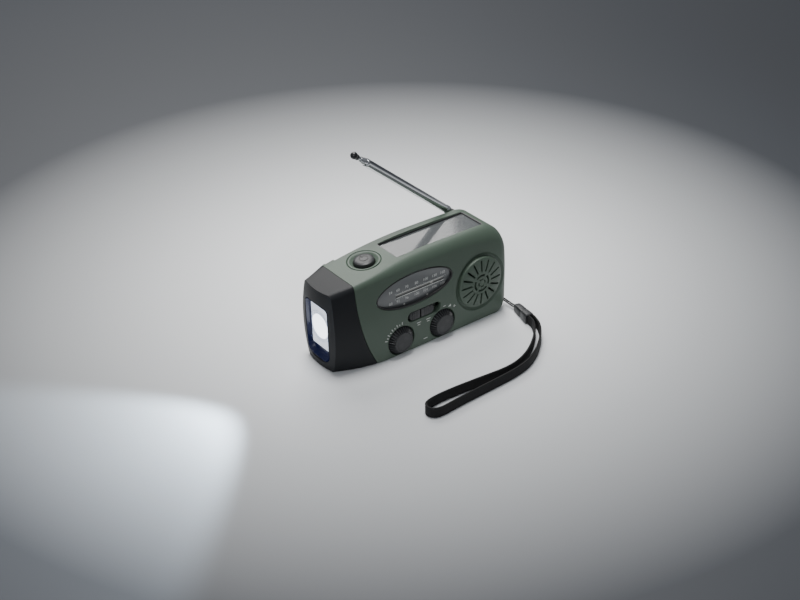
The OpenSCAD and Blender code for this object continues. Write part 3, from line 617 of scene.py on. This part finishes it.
# Front casing: outer skin less the hollow, plus bosses, less every recess
casing = hull("front_casing", body_xs)
keep(casing, seam_disc())
cut(casing, block("rear", (-80, FRONT_END_Y, -5), (80, 60, 80)))
hollow = hull("hollow", inner_xs, 2)
keep(hollow, seam_disc(-2))
cut(casing, hollow)
core = hull("core", body_xs, 0.4)
keep(core, seam_disc(-1))
SPK = (40.8, 27.2)
TUNING_X, VOLUME_X = -18.9, 11.7
KNOBS = (("tuning", TUNING_X), ("volume", VOLUME_X))
KNOB_Z, RECESS_R = 9.9, 9.4
solids = shape("bosses", *box_mesh((-14.8, -13.2, 54.4), (53, 11, 70)))
add(solids, disc_y("b", SPK[0], SPK[1], 19.4, -30, -17.4, 72))
for _, kx in KNOBS:
    add(solids, disc_y("b", kx, KNOB_Z, RECESS_R + 1.2, -30, -17.6, 72))
add(solids, block("b", (-44, 10.8, 49.4), (64, FRONT_END_Y, 70)))
add(solids, block("b", (55.4, -19, 0), (64, -6.8, 9.4)))
add(solids, block("b", (-40, -11, 51.5), (-16, 11, 70)))
keep(solids, core)
cut(solids, block("b", (-80, FRONT_END_Y, -5), (80, 60, 80)))
add(casing, solids)
disc = lathe("disc", [(0, 18.6), (16.3, 18.6), (16.3, 22.0), (16.15, 22.35), (15.7, 22.6),
                      (12, 23.1), (8, 23.4), (4, 23.55), (0, 23.6)],
             flat_front(SPK[0], SPK[1], 0), n=96, body=None)
cut(casing, lathe("moat", [(0, 4), (18.9, 4), (18.9, 0.03), (18.65, -0.14), (18.35, -0.5),
                           (17.9, -0.9), (17.3, -1.15), (16.6, -1.2), (0, -1.2)],
                  on_front(*SPK), n=96, body=None))
add(casing, disc)
for a in turns(16):
    pts = stadium(7.2, 14.9, 0, 1.2, 8)
    spun = [(SPK[0] + px * cos(a) - pz * sin(a), SPK[1] + px * sin(a) + pz * cos(a))
            for px, pz in pts]
    cut(casing, outline_solid("slot", spun, into_front, (30, 15), body=None))


def arc_strip(cx, cz, r, w, a0, a1, n=16):
    """Outline of a curved slot, w wide."""
    return (arc_points(cx, cz, r + w / 2, a0, a1, n)
            + arc_points(cx, cz, r - w / 2, a1, a0, n))


for q in range(4):
    for r, w, span in ((5.1, 1.3, 72), (2.4, 0.85, 62)):
        cut(casing, outline_solid("arc", arc_strip(SPK[0], SPK[1], r, w, q * 90 + 10 - span / 2,
                                                   q * 90 + 10 + span / 2),
                                  into_front, (30, 15), body=None))

DIAL = (-7.3, 40.5, 27.6, 10.1)


def oval(grow=0, n=120):
    """Outline of the dial, moved outwards by grow."""
    return [(DIAL[0] + (DIAL[2] + grow) * cos(a), DIAL[1] + (DIAL[3] + grow) * sin(a))
            for a in turns(n)]


def surf(x, z, h):
    return (x, front(x, z) - h, z)


cut(casing, outline_solid("oval", oval(), surf, (4, 0.04, -0.15, -0.4, -6),
                          (0.35, 0.35, 0.15, 0, 0), body=None))
cut(casing, outline_solid("slot", stadium(-13.9, 10.4, 22.8, 6.4), surf,
                          (4, 0.04, -0.15, -0.35, -6), (0.3, 0.3, 0.1, 0, 0), body=None))
for _, kx in KNOBS:
    cut(casing, lathe("well", lip(RECESS_R, 2.7, 0.25), on_front(kx, KNOB_Z), n=96, body=None))
    cut(casing, disc_y("hole", kx, KNOB_Z, 1.9, -30, -16, 32))

# Solar recess, torch button dish
SOLAR = (-13.2, 51.2, -11.4, 8.4)
cut(casing, outline_solid("solar", rounded(*SOLAR, 0.8),
                          along_z, (55.8, 58.75, 59.0, 65),
                          (0, 0, 0.2, 0.2), body=None))
BTN_X = -28.2
LEAN = math.atan((BTN_X - CROWN_X) / CROWN_L)
BTN_Z = TOP - CROWN_L + math.sqrt(CROWN_L ** 2 - (BTN_X - CROWN_X) ** 2)


def at_button(a, b, h):
    return (BTN_X + a * cos(LEAN) + h * sin(LEAN), b, BTN_Z - a * sin(LEAN) + h * cos(LEAN))


cut(casing, ring_solid("groove", [(10.55, 3), (10.55, 0.05), (10.3, -0.15), (10.1, -0.5),
                                  (9.75, -0.75), (9.5, -0.5), (9.4, -0.12), (9.3, 3)],
                       at_button, n=96, body=None))
cut(casing, lathe("dish", [(0, 3), (9.1, 3), (9.1, 0.02), (8.6, -0.12), (7.9, -0.5), (7.4, -0.95),
                           (7.1, -1.1), (6.75, -1.3), (6.6, -1.6), (6.6, -8), (0, -8)],
                  at_button, n=96, body=None))

# Strap pocket, port recess and sockets
cut(casing, outline_solid("pocket", rounded(-16.4, -7.6, 3.2, 7.6, 1.0),
                          along_x, (56.4, 61.6, 62.6, 70), (0, 0, 0.5, 0.5),
                          body=None))
PORT = (-7.5, 11.5, 20, 42)
cut(casing, outline_solid("port", rounded(*PORT, 1.6),
                          along_x, (62.2, 63.7, 63.95, 70), (0, 0, 0.3, 0.3),
                          body=None))
PORT_Y, USB_Z, CHARGE_Z, LAMP_Y = 2, 25, 35.5, 9.4
cut(casing, block("usb", (50, PORT_Y - 6.7, USB_Z - 2.95), (66, PORT_Y + 6.7, USB_Z + 2.95)))
cut(casing, block("charge", (50, PORT_Y - 4.1, CHARGE_Z - 1.7),
                  (66, PORT_Y + 4.1, CHARGE_Z + 1.7)))
cut(casing, shape("lamp", *tube_mesh([[(x, y, z) for y, z in circle(LAMP_Y, CHARGE_Z, 1.3, 24)]
                                      for x in (55, 66)])))
finish_piece(casing, green, nodes=["front_shell"])

# Rear casing: a shallow tray with the antenna groove and screw wells
SCREWS = ((-37, 44.5), (-33, 17), (54, 45), (57.5, 16.4))
CRANK_Z = 28.5
rear = hull("rear_casing", body_xs)
keep(rear, seam_disc())
cut(rear, block("front", (-80, -60, -5), (80, REAR_START_Y, 80)))
tray = hull("tray", inner_xs, 2)
keep(tray, seam_disc(-2))
cut(tray, block("top", (-80, -60, 49.4), (80, 60, 80)))
cut(rear, tray)
cut(rear, block("groove", (-39.8, 0, 51.4), (80, 40, 80)))
cut(rear, block("tip", (-45.2, 14.2, 51.8), (-39, 40, 80)))


def on_back(cx, cz):
    return lambda a, b, h: (cx + a, BACK_Y + h, cz + b)


for sx, sz in SCREWS:
    cut(rear, lathe("well", [(0, 4), (2.9, 4), (2.9, 0.03), (2.65, -0.25), (2.6, -1.6), (1.1, -1.6),
                             (1.1, -9), (0, -9)], on_back(sx, sz), n=40, body=None))
cut(rear, lathe("hub", [(0, 4), (9.3, 4), (9.3, 0.03), (9.1, -0.3), (8.9, -0.5), (2.5, -0.5),
                        (2.5, -9), (0, -9)], on_back(0, CRANK_Z), n=64, body=None))
finish_piece(rear, green, nodes=["rear_shell"])

# ---------------------------------------------------------------- torch head


def nose_x(y, z, d=0):
    return -64 + d + y * y / 92 + (z - 26) ** 2 / 400


def nose_cutter(d=0):
    ys, zs = spaced(-26, 26, 1.0), spaced(-6, 66, 1.5)
    verts, faces = [], []
    for layer in (0, 1):
        for y in ys:
            for z in zs:
                verts.append((nose_x(y, z, d) if layer == 0 else -90, y, z))
    n, m = len(ys), len(zs)
    for layer in (0, 1):
        o = layer * n * m
        for i in range(n - 1):
            for k in range(m - 1):
                f = (o + i * m + k, o + (i + 1) * m + k, o + (i + 1) * m + k + 1, o + i * m + k + 1)
                faces.append(f if layer else f[::-1])
    edge = ([(i, 0) for i in range(n)] + [(n - 1, k) for k in range(1, m)]
            + [(i, m - 1) for i in range(n - 2, -1, -1)] + [(0, k) for k in range(m - 2, 0, -1)])
    for a, b in zip(edge, edge[1:] + edge[:1]):
        p, q = a[0] * m + a[1], b[0] * m + b[1]
        faces.append((p, q, q + n * m, p + n * m))
    return shape("nose", verts, faces)


def window(grow=0, shrink=1.0):
    """Outline of the torch window, y and z: straight top, rounder at the bottom."""
    pts = []
    for cy, cz, r, a0 in ((5.2, 10.5, 5.5, -90), (8.5, 38.8, 2.2, 0), (-8.5, 38.8, 2.2, 90),
                          (-5.2, 10.5, 5.5, 180)):
        for y, z in arc_points(cy, cz, r + grow, a0, a0 + 90, 8):
            pts.append((y * shrink, 24 + (z - 24) * shrink))
    return pts


head = hull("torch_casing", spaced(-30, -68, 1.0))
cut(head, seam_disc(0.3))
cut(head, nose_cutter())
inside = hull("inside", spaced(-30, -66, 2.0), 2)
cut(inside, seam_disc(-1))
cut(inside, block("face", (-80, -60, -5), (-57.8, 60, 80)))
cut(head, inside)
cut(head, outline_solid("window", window(), along_x,
                        (-50, -61.6, -62.2, -62.8, -75), (0, 0, 0.35, 1.1, 1.6), body=None))
finish_piece(head, black, nodes=["torch_head"])
rings = []
for x, k in ((-62.4, 0.995), (-59.6, 0.95), (-59.1, 0.93), (-59.1, 0.72), (-58.2, 0.72),
             (-58.2, 0.99)):
    rings.append([(x, y, z) for y, z in window(0, k)])
# The funnel walls' faint glow is painted LED light
band("torch_funnel", rings, material=painted_led_light_wall)

# Lit window: a plate with a round dome, glowing most in the middle
PLATE_X, PLATE_Z = -60.3, 25.4
plate_pts = rounded(-8.5, 8.5, 11.5, 39.3, 1.4)
lens = outline_solid("torch_window", plate_pts, along_x,
                     (-58.6, -60.1, -60.3), (0, 0, -0.2), material=lit)
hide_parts("torch_lens")
lathe("torch_dome", [(0, 0.6), (7.5, 0.6), (7.6, 0), (7.5, -0.25), (6.6, -0.75), (5.0, -1.25),
                     (3.0, -1.6), (1.4, -1.72), (0, -1.75)],
      lambda a, b, h: (PLATE_X + h, a, PLATE_Z + b), n=64, material=glow)
for i, r in enumerate((8.4, 9.6)):
    ring_solid("torch_facet_%d" % i, [(r, 0.3), (r, -0.12), (r + 0.25, -0.12), (r + 0.25, 0.3)],
               lambda a, b, h: (PLATE_X + h, max(min(a, 8.3), -8.3), PLATE_Z + min(b, 13)), n=64,
               material=facet)

# ---------------------------------------------------------------- controls
lathe_btn = lathe("torch_push_button",
                  [(0, -5.9), (7.1, -5.9), (7.1, -5.2), (6.1, -5.2), (6.1, 0.1), (6.0, 0.5),
                   (5.5, 0.85), (4.0, 1.2), (2.0, 1.36), (0, 1.4)], at_button, n=80, material=grey,
                  body="torch_push")
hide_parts("torch_button")
ring_solid("button_icon", [(2.8, 1.0), (2.8, 1.38), (2.2, 1.42), (2.2, 1.0)], at_button, n=48,
           material=dark, body="torch_push")
make("button_mark", *tube_mesh([[at_button(a, b, h) for a, b in
                                 ((-0.35, 0.8), (0.35, 0.8), (0.35, 3.6), (-0.35, 3.6))]
                                for h in (1.0, 1.44)]), material=dark, body="torch_push")


def knob(label, kx, node):
    """A ribbed cone with a flat face, on its spindle."""
    teeth = 32
    n = teeth * 8
    rings = []
    for y, r, deep in ((-19.8, 8.9, 0), (-21.0, 8.9, 0), (-21.1, 8.9, 1.3), (-21.9, 8.8, 1.4),
                       (-23.0, 7.95, 1.3), (-24.1, 6.95, 1.0), (-24.5, 6.5, 0.5), (-24.6, 6.2, 0),
                       (-24.6, 5.7, 0), (-24.4, 5.5, 0), (-24.4, 3.0, 0), (-24.4, 0.02, 0)):
        ring = []
        for k, a in enumerate(turns(n)):
            q = r - deep * (0, 0, 0, 0.3, 1, 1, 1, 0.3)[k % 8]
            ring.append((kx + q * cos(a), y, KNOB_Z + q * sin(a)))
        rings.append(ring)
    ob = make(label + "_dial_knob", *tube_mesh(rings), material=grey, angle=28, body=label)
    shaft = [[(x, y, z) for x, z in circle(kx, KNOB_Z, 1.5, 24)] for y in (-19.9, -5.6)]
    make(label + "_spindle", *tube_mesh(shaft), material=tin, body=label)
    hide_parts(node)


for knob_label, knob_x in KNOBS:
    knob(knob_label, knob_x, knob_label + "_knob")

# Band switch: ribbed cap in its slot
cap = outline_solid("band_slider_cap", stadium(-12.4, 5.6, 22.8, 5.8), along_y,
                    (-18.8, -21.5, -21.75, -21.8), (0, 0, -0.2, -0.4), body=None)
cut(cap, block("gap", (-4.9, -23, 18), (-3.9, -20.6, 28)))
for gx in (-10.6, -9.0, -7.4, -1.6, 0, 1.6):
    cut(cap, block("rib", (gx, -23, 18), (gx + 0.4, -21.62, 28)))
# The flange is cut short at the lower right, where it passes behind the volume knob's well
add(cap, block("flange", (-14.4, -19.6, 19.2), (1.0, -18.8, 26.4)))
add(cap, block("flange", (0.9, -19.6, 20.9), (5.9, -18.8, 26.4)))
add(cap, block("stem", (-5.9, -19.0, 21.3), (-1.9, -15.4, 24.3)))
finish_piece(cap, grey, "band_slider", ["band_switch_cap"])

# Dial: black rim, grey plate with printed scale, pointer behind a slot
rings = []
for g, y in ((-0.1, 0.9), (-0.1, -0.5), (-0.35, -0.72), (-0.75, -0.72), (-1.0, -0.5), (-1.3, 0.9)):
    ring = []
    for x, z in oval(g):
        ring.append((x, max(front(x, z) + 0.75 + y * 0.8, -22), z))
    rings.append(ring)
band("dial_rim", rings, material=rim)
dial = outline_solid("dial_face", oval(-0.15), along_y, (-18.9, -19.7), body=None)
cut(dial, outline_solid("track", stadium(-20.6, 14.8, 39.1, 1.6), along_y,
                        (-18, -21), (0, 0), body=None))
finish_piece(dial, plate, nodes=["dial_plate"])
for label, z0 in (("upper", 40.0), ("lower", 37.8)):
    make("scale_line_" + label, *box_mesh((-20.2, -19.76, z0), (14.4, -19.69, z0 + 0.4)),
         material=ink)
rail = make("dial_strip", *box_mesh((-26, -18.3, 36.6), (20, -17.3, 40.1)), material=white)
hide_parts("dial_rail")


def glyph(name, body_text, x, z, size, y_of):
    """A generic printed number standing on a surface."""
    cu = bpy.data.curves.new(name, "FONT")
    cu.body = body_text
    cu.size = size
    cu.align_x = "CENTER"
    cu.align_y = "CENTER"
    cu.extrude = 0.03
    cu.resolution_u = 3
    ob = bpy.data.objects.new(name, cu)
    bpy.context.scene.collection.objects.link(ob)
    dg = bpy.context.evaluated_depsgraph_get()
    me = bpy.data.meshes.new_from_object(ob.evaluated_get(dg))
    bpy.data.objects.remove(ob)
    for v in me.vertices:
        px, pz, d = v.co.x, v.co.y, v.co.z
        v.co = Vector((x + px, y_of(x + px, z + pz) - 0.03 - d, z + pz)) * MM
    out = bpy.data.objects.new(name, me)
    bpy.context.scene.collection.objects.link(out)
    me.materials.append(ink)
    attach(out, "radio")
    return out


def flat_mark(name, pts, y_of, thick=0.06):
    rings = [[(x, y_of(x, z) - h, z) for x, z in pts] for h in (0.0, thick)]
    return make(name, *tube_mesh(rings), material=ink)


def plate_y(x, z):
    return -19.7


for row, (z, names) in enumerate(((43.0, ("54", "60", "70", "80", "100", "130", "160")),
                                  (35.6, ("88", "92", "96", "100", "104", "106", "108")))):
    for i, (x, t) in enumerate(zip((-24.3, -19.0, -12.7, -5.6, 0.9, 7.5, 13.6), names)):
        glyph("scale_%d_%d" % (row, i), t, x, z, 2.5, plate_y)
for i in range(29):
    x = -21 + i * 1.3
    tall = 0.9 if i % 4 == 0 else 0.5
    for label, z0, z1 in (("a", 40.3, 40.3 + tall), ("b", 37.9 - tall, 37.9)):
        flat_mark("tick_%s_%d" % (label, i), [(x - 0.09, z0), (x + 0.09, z0), (x + 0.09, z1),
                                              (x - 0.09, z1)], plate_y)
for i, (x, z) in enumerate(((-14.7, 32.2), (2.2, 32.2))):
    flat_mark("lamp_mark_%d" % i, circle(x, z, 0.6, 20), plate_y)


# Printed marks on the casing: an arc of ticks, plus and minus, band marks
def strip(name, x0, z0, x1, z1, w):
    dx, dz = x1 - x0, z1 - z0
    d = math.hypot(dx, dz)
    nx, nz = -dz / d * w / 2, dx / d * w / 2
    return flat_mark(name, [(x0 + nx, z0 + nz), (x0 - nx, z0 - nz), (x1 - nx, z1 - nz),
                            (x1 + nx, z1 + nz)], front)


for i in range(9):
    a = rad(162 - i * 9.5)
    r0, r1 = 10.5, (12.3 if i % 2 == 0 else 11.5)
    strip("tuning_tick_%d" % i, TUNING_X + r0 * cos(a), KNOB_Z + r0 * sin(a),
          TUNING_X + r1 * cos(a), KNOB_Z + r1 * sin(a), 0.5)
strip("minus", 12.2, 21.1, 14.0, 21.1, 0.4)
strip("plus_h", 19.8, 18.3, 21.6, 18.3, 0.4)
strip("plus_v", 20.7, 17.4, 20.7, 19.2, 0.4)
flat_mark("volume_mark", [(15.9, 19.6), (18.0, 19.2), (18.0, 20.9)], front)
for i, (x, z) in enumerate(((-6.0, 17.2), (1.0, 17.2))):
    strip("band_mark_%d" % i, x - 1.5, z, x + 1.5, z, 0.45)
    strip("band_mark_b_%d" % i, x - 1.0, z - 1.5, x + 1.0, z - 1.5, 0.45)
strip("power_mark", -2.6, 4.4, 0.2, 4.4, 0.45)

# ---------------------------------------------------------------- solar panel
x0, x1, y0, y1 = SOLAR
rings = []
for g, z in ((-0.02, 55.85), (-0.02, 58.7), (-0.3, 58.75), (-0.6, 58.6), (-0.6, 55.85)):
    rings.append([(x, y, z) for x, y in rounded(x0 - g, x1 + g, y0 - g, y1 + g, 0.8 + g / 2)])
band("solar_frame", rings, material=rim)
cover = outline_solid("solar_window", rounded(x0 + 0.62, x1 - 0.62, y0 + 0.62, y1 - 0.62, 0.4),
                      along_z, (56.95, 57.8, 57.9), (0, 0, -0.12),
                      material=solar_glass)
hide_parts("solar_cover")
v, f = [], []
for cx0, cx1, cy0, cy1 in (
        [(x0 + 2, x1 - 2, y0 + 1.9, y0 + 2.3), (x0 + 2, x1 - 2, y1 - 2.3, y1 - 1.9),
         (x0 + 2, x0 + 2.4, y0 + 2, y1 - 2), (x1 - 2.4, x1 - 2, y0 + 2, y1 - 2)]
        + [(x0 + 2 + 6.0 * i, x0 + 2.2 + 6.0 * i, y0 + 2, y1 - 2) for i in range(1, 10)]):
    bv, bf = box_mesh((cx0, cy0, 56.8), (cx1, cy1, 56.88))
    f += [tuple(k + len(v) for k in q) for q in bf]
    v += bv
make("solar_grid", v, f, material=ink)

# ---------------------------------------------------------------- antenna
TILT = rad(40)
PIVOT_X, PIVOT_Z = 50.9, 54.7
PIVOT = Vector((PIVOT_X, 16.5, PIVOT_Z))
DIR = Vector((-cos(TILT), 0, sin(TILT)))
ACR = Vector((0, 1, 0))
OUT = DIR.cross(ACR)


def along(a, b, h):
    return tuple(PIVOT + DIR * h + ACR * a + OUT * b)


def turned(name, prof, material_, body, node=None, n=40):
    ob = lathe(name, prof, along, n=n, material=material_, body=body)
    if node:
        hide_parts(node)
    return ob


turned("antenna_outer",
       [(0, 5.2), (2.2, 5.0), (2.6, 5.3), (2.65, 5.8), (2.65, 7.6), (2.5, 8.0), (2.35, 8.3),
        (2.35, 8.7), (2.5, 9.0), (2.5, 82.0), (2.55, 82.1), (2.55, 83.2), (2.4, 83.6),
        (2.14, 83.6), (2.14, 60), (0, 60)], steel, "antenna_1", "antenna_tube")
turned("antenna_middle", [(0, 13.4), (2.07, 13.4), (2.07, 85.2), (2.07, 85.5), (1.9, 85.9),
                          (1.74, 85.9), (1.74, 70), (0, 70)], steel, "antenna_2",
       "antenna_section_2")
turned("antenna_inner", [(0, 15.2), (1.68, 15.2), (1.68, 87.8), (1.5, 88.2), (1.34, 88.2),
                         (1.34, 72), (0, 72)], steel, "antenna_3", "antenna_section_3")
turned("antenna_rod", [(0, 17), (1.27, 17), (1.27, 90.4), (1.27, 90.8), (0, 90.8)], steel,
       "antenna_4", "antenna_tip")
turned("antenna_ball", [(0, 90.6), (1.7, 90.6), (1.75, 91.4)]
       + arc_points(0, 93.5, 2.2, -50, 80, 13) + [(0, 95.7)],
       rim, "antenna_4")
tongue = arc_points(0, 0, 2.3, 90, 270, 24) + [(5.6, -1.8), (5.6, 1.8)]
tongue_ob = outline_solid("antenna_tongue", tongue,
                          lambda u, v, h: tuple(PIVOT + DIR * u + OUT * v + ACR * h),
                          (-1.1, -0.95, 0.95, 1.1), (-0.15, 0, 0, -0.15), body=None)
cut(tongue_ob, disc_y("pin", PIVOT.x, PIVOT.z, 1.05, 10, 22, 24))
finish_piece(tongue_ob, tin, "antenna_1")


# Bracket cheeks with rounded tops
def cheek(u, z, y):
    return (PIVOT.x + u, y, z)


for i, y in enumerate((13.6, 18.4)):
    pts = arc_points(0, PIVOT_Z, 2.2, 0, 180, 15) + [(-2.2, 51.4), (2.2, 51.4)]
    c = outline_solid("antenna_cheek_%d" % i, pts, cheek, (y, y + 0.12, y + 0.88, y + 1),
                      (-0.12, 0, 0, -0.12), body=None)
    cut(c, disc_y("pin", PIVOT.x, PIVOT.z, 1.0, 10, 22, 24))
    finish_piece(c, tin)
foot = outline_solid("antenna_foot", rounded(48.7, 56.5, 13.6, 19.4, 0.8),
                     along_z, (51.42, 51.8, 51.9), (0, 0, -0.1), material=tin)
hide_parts("antenna_bracket")


def screw_head(name, place, r, h, material_, body="radio"):
    """A domed head with a cross recess."""
    ob = lathe(name, [(0, -0.4), (r, -0.4), (r, h * 0.45), (r * 0.9, h * 0.8), (r * 0.5, h),
                      (0, h)], place, n=32, body=None)
    for a0 in (0, 90):
        c, s = cos(rad(a0)), sin(rad(a0))
        rings = []
        for hh in (h - 0.35, h + 1):
            rings.append([place(px * c - py * s, px * s + py * c, hh) for px, py in
                          ((-r * 0.6, -r * 0.13), (r * 0.6, -r * 0.13), (r * 0.6, r * 0.13),
                           (-r * 0.6, r * 0.13))])
        cut(ob, shape("cross", *tube_mesh(rings)))
    return finish_piece(ob, material_, body)


for i, (sx, sz) in enumerate(SCREWS):
    s = screw_head("case_screw_%d" % i, lambda a, b, h, sx=sx, sz=sz: (sx + a, 18.3 + h, sz + b),
                   2.4, 0.9, tin)
    if i == 0:
        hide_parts("case_screws")
for i, y in enumerate((15.0, 18.0)):
    s = screw_head("bracket_screw_%d" % i, lambda a, b, h, y=y: (54.9 + a, y + b, 51.9 + h), 1.2,
                   0.6, tin)
    if i == 0:
        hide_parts("bracket_screws")
screw_head("antenna_pivot_head",
           lambda a, b, h: (PIVOT_X + a, 19.4 + min(h, 0.3), PIVOT_Z + b), 1.7, 0.3, tin)

# ---------------------------------------------------------------- crank
ARM_Y, ARM_L = 19.9, 38.5
HUB_R, TIP_R = 8.5, 5.5


def back_face(x, z, h):
    return (x, ARM_Y + h, z)


def pin_hole(r, z0, z1):
    """An upright hole for the pin that the grip folds on."""
    return shape("pin", *tube_mesh([[(x, y, z) for x, y in circle(-ARM_L, ARM_Y + 1.4, r, 20)]
                                    for z in (z0, z1)]))


# Places along the arm and its half width there, where it narrows from the hub
neck = ((-2.5, 8.1), (-5.2, 6.9), (-8.2, 5.8), (-11, 5.5))
arm_pts = (arc_points(0, CRANK_Z, HUB_R, -90, 90, 40) + [(x, CRANK_Z + w) for x, w in neck]
           + arc_points(-ARM_L, CRANK_Z, TIP_R, 90, 270, 20)
           + [(x, CRANK_Z - w) for x, w in reversed(neck)])
arm = outline_solid("crank_lever", arm_pts, back_face, (0, 0.3, 2.2, 2.6, 2.8),
                    (-0.3, 0, 0, -0.2, -0.6), body=None)
cut(arm, outline_solid("bay", rounded(-ARM_L - 1.8, -ARM_L + 19, CRANK_Z - 3.3,
                                      CRANK_Z + 3.3, 0.7),
                       back_face, (-1, 2.6, 2.8, 5), (0, 0, 0.25, 0.25), body=None))
cut(arm, lathe("hub_ring", [(0, 5), (5.6, 5), (5.6, 2.8), (5.4, 2.5), (0, 2.5)],
               lambda a, b, h: (a, ARM_Y + h, CRANK_Z + b), n=64, body=None))
for z0 in (CRANK_Z + 3.2, CRANK_Z - 4.8):
    cut(arm, pin_hole(0.82, z0, z0 + 1.6))
finish_piece(arm, green, "crank", ["crank_arm"])
make("crank_shaft", *tube_mesh([[(x, y, z) for x, z in circle(0, CRANK_Z, 2.4, 32)]
                                for y in (3.4, 19.95)]), material=tin, body="crank")
screw_head("crank_screw", lambda a, b, h: (a, ARM_Y + 2.45 + h, CRANK_Z + b), 3.0, 0.3, tin, "crank")
grip = outline_solid("crank_grip", rounded(-ARM_L - 1.2, -ARM_L + 18.2, 25.5, 31.5, 1.1),
                     back_face, (0.1, 0.4, 2.3, 2.7), (-0.3, 0, 0, -0.35), body=None)
for i in range(6):
    gx = -ARM_L + 4.5 + i * 2.1
    cut(grip, block("rib", (gx, ARM_Y + 2.3, 24), (gx + 0.8, ARM_Y + 4, 33)))
cut(grip, pin_hole(0.86, 20, 36))
finish_piece(grip, grey, "handle", ["crank_handle"])

# ---------------------------------------------------------------- port cover
flap = outline_solid("port_flap",
                     rounded(PORT[0] + 0.3, PORT[1] - 0.3, PORT[2] + 0.3, PORT[3] - 0.3, 1.4),
                     along_x, (62.35, 62.5, 63.6, 63.8), (-0.1, 0, 0, -0.2), body=None)
cut(flap, outline_solid("nick", stadium(-6.4, -4.6, 31, 8), along_x, (63.3, 66),
                        body=None))
for i in range(3):
    cut(flap, block("hinge_line", (63.55, 9.2 - i * 0.7, 18), (64, 9.45 - i * 0.7, 44)))
finish_piece(flap, rubber, "flap", ["port_cover"])

# ---------------------------------------------------------------- CAD pieces that stay
paint = (
    (dark, "torch_switch ferrite_rod"),
    (crystal, "solar_cell"),
    (white, "dial_rail dial_pointer tuning_drum tuning_capacitor drive_gear intermediate_gear"),
    (tin, "cord_guides volume_control band_switch_body speaker_frame speaker_magnet "
          "gearbox_plate generator antenna_screw usb_socket charge_socket strap_pin"),
    (steel, "handle_pin"),
    (cloth, "speaker_cloth speaker_cone"),
    (board, "main_board port_board"),
    (cellblue, "battery_pack"),
    (copper, "antenna_coil generator_pinion"),
    (thread, "dial_cord"),
    (red, "charge_lamp"))
for mat_, names in paint:
    for n in names.split():
        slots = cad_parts[n].data.materials
        slots.clear()
        slots.append(mat_)

# ---------------------------------------------------------------- floor and light
floor_mat = material("floor", (0.62, 0.63, 0.64), 0.6, bump=0.02, scale=40, spread=0.01, spot=3)
# The floor's colour is bright round the radio and darkens away from it: a painted pool of light
nodes, links = floor_mat.node_tree.nodes, floor_mat.node_tree.links
coords = nodes.new("ShaderNodeTexCoord")
from_centre = nodes.new("ShaderNodeVectorMath")
from_centre.operation = "DISTANCE"
from_centre.inputs[1].default_value = (0.04, 0.06, 0)
links.new(coords.outputs["Object"], from_centre.inputs[0])
painted_light_falloff = nodes.new("ShaderNodeValToRGB")
painted_light_falloff.color_ramp.elements[0].position = 0.09
painted_light_falloff.color_ramp.elements[0].color = (0.8, 0.81, 0.82, 1)
painted_light_falloff.color_ramp.elements[1].position = 0.32
painted_light_falloff.color_ramp.elements[1].color = (0.045, 0.05, 0.06, 1)
middle = painted_light_falloff.color_ramp.elements.new(0.2)
middle.color = (0.41, 0.42, 0.43, 1)
links.new(from_centre.outputs["Value"], painted_light_falloff.inputs["Fac"])
links.new(painted_light_falloff.outputs["Color"], nodes["Principled BSDF"].inputs["Base Color"])
floor = make("floor", [(-3000, -3000, 0), (3000, -3000, 0), (3000, 3000, 0), (-3000, 3000, 0)],
             [(0, 1, 2, 3)], material=floor_mat, body=None)


def light(name, kind, where, target, power, colour):
    """A light that shines from one place at another."""
    d = bpy.data.lights.new(name, kind)
    d.energy = power
    d.color = colour
    o = bpy.data.objects.new(name, d)
    o.location = where
    o.rotation_euler = (Vector(target) - Vector(where)).to_track_quat("-Z", "Y").to_euler()
    bpy.context.scene.collection.objects.link(o)
    return d


def area(name, where, target, size, power, colour):
    light(name, "AREA", where, target, power, colour).size = size


def spot(name, where, target, angle, blend, radius, power, colour=(1, 1, 1)):
    d = light(name, "SPOT", where, target, power, colour)
    d.spot_size = rad(angle)
    d.spot_blend = blend
    d.shadow_soft_size = radius


area("key", (0.3, 0.8, 0.9), (0, 0, 0.02), 0.8, 12, (1, 0.99, 0.97))
area("fill", (-0.9, -0.7, 0.7), (0, 0, 0.03), 0.8, 4, (0.93, 0.96, 1))
spot("pool", (0.06, 0.12, 1.25), (0.03, 0.02, 0), 38, 1.0, 0.2, 60)
spot("torch_beam", (-0.0665, -0.012, 0.0245), (-0.9245, -0.012, 0.536), 108, 0.2, 0.002, 6.5,
     (0.72, 0.86, 1))
world = bpy.data.worlds.new("studio")
world.use_nodes = True
world.node_tree.nodes["Background"].inputs["Color"].default_value = (0.8, 0.83, 0.87, 1)
world.node_tree.nodes["Background"].inputs["Strength"].default_value = 0.3
bpy.context.scene.world = world
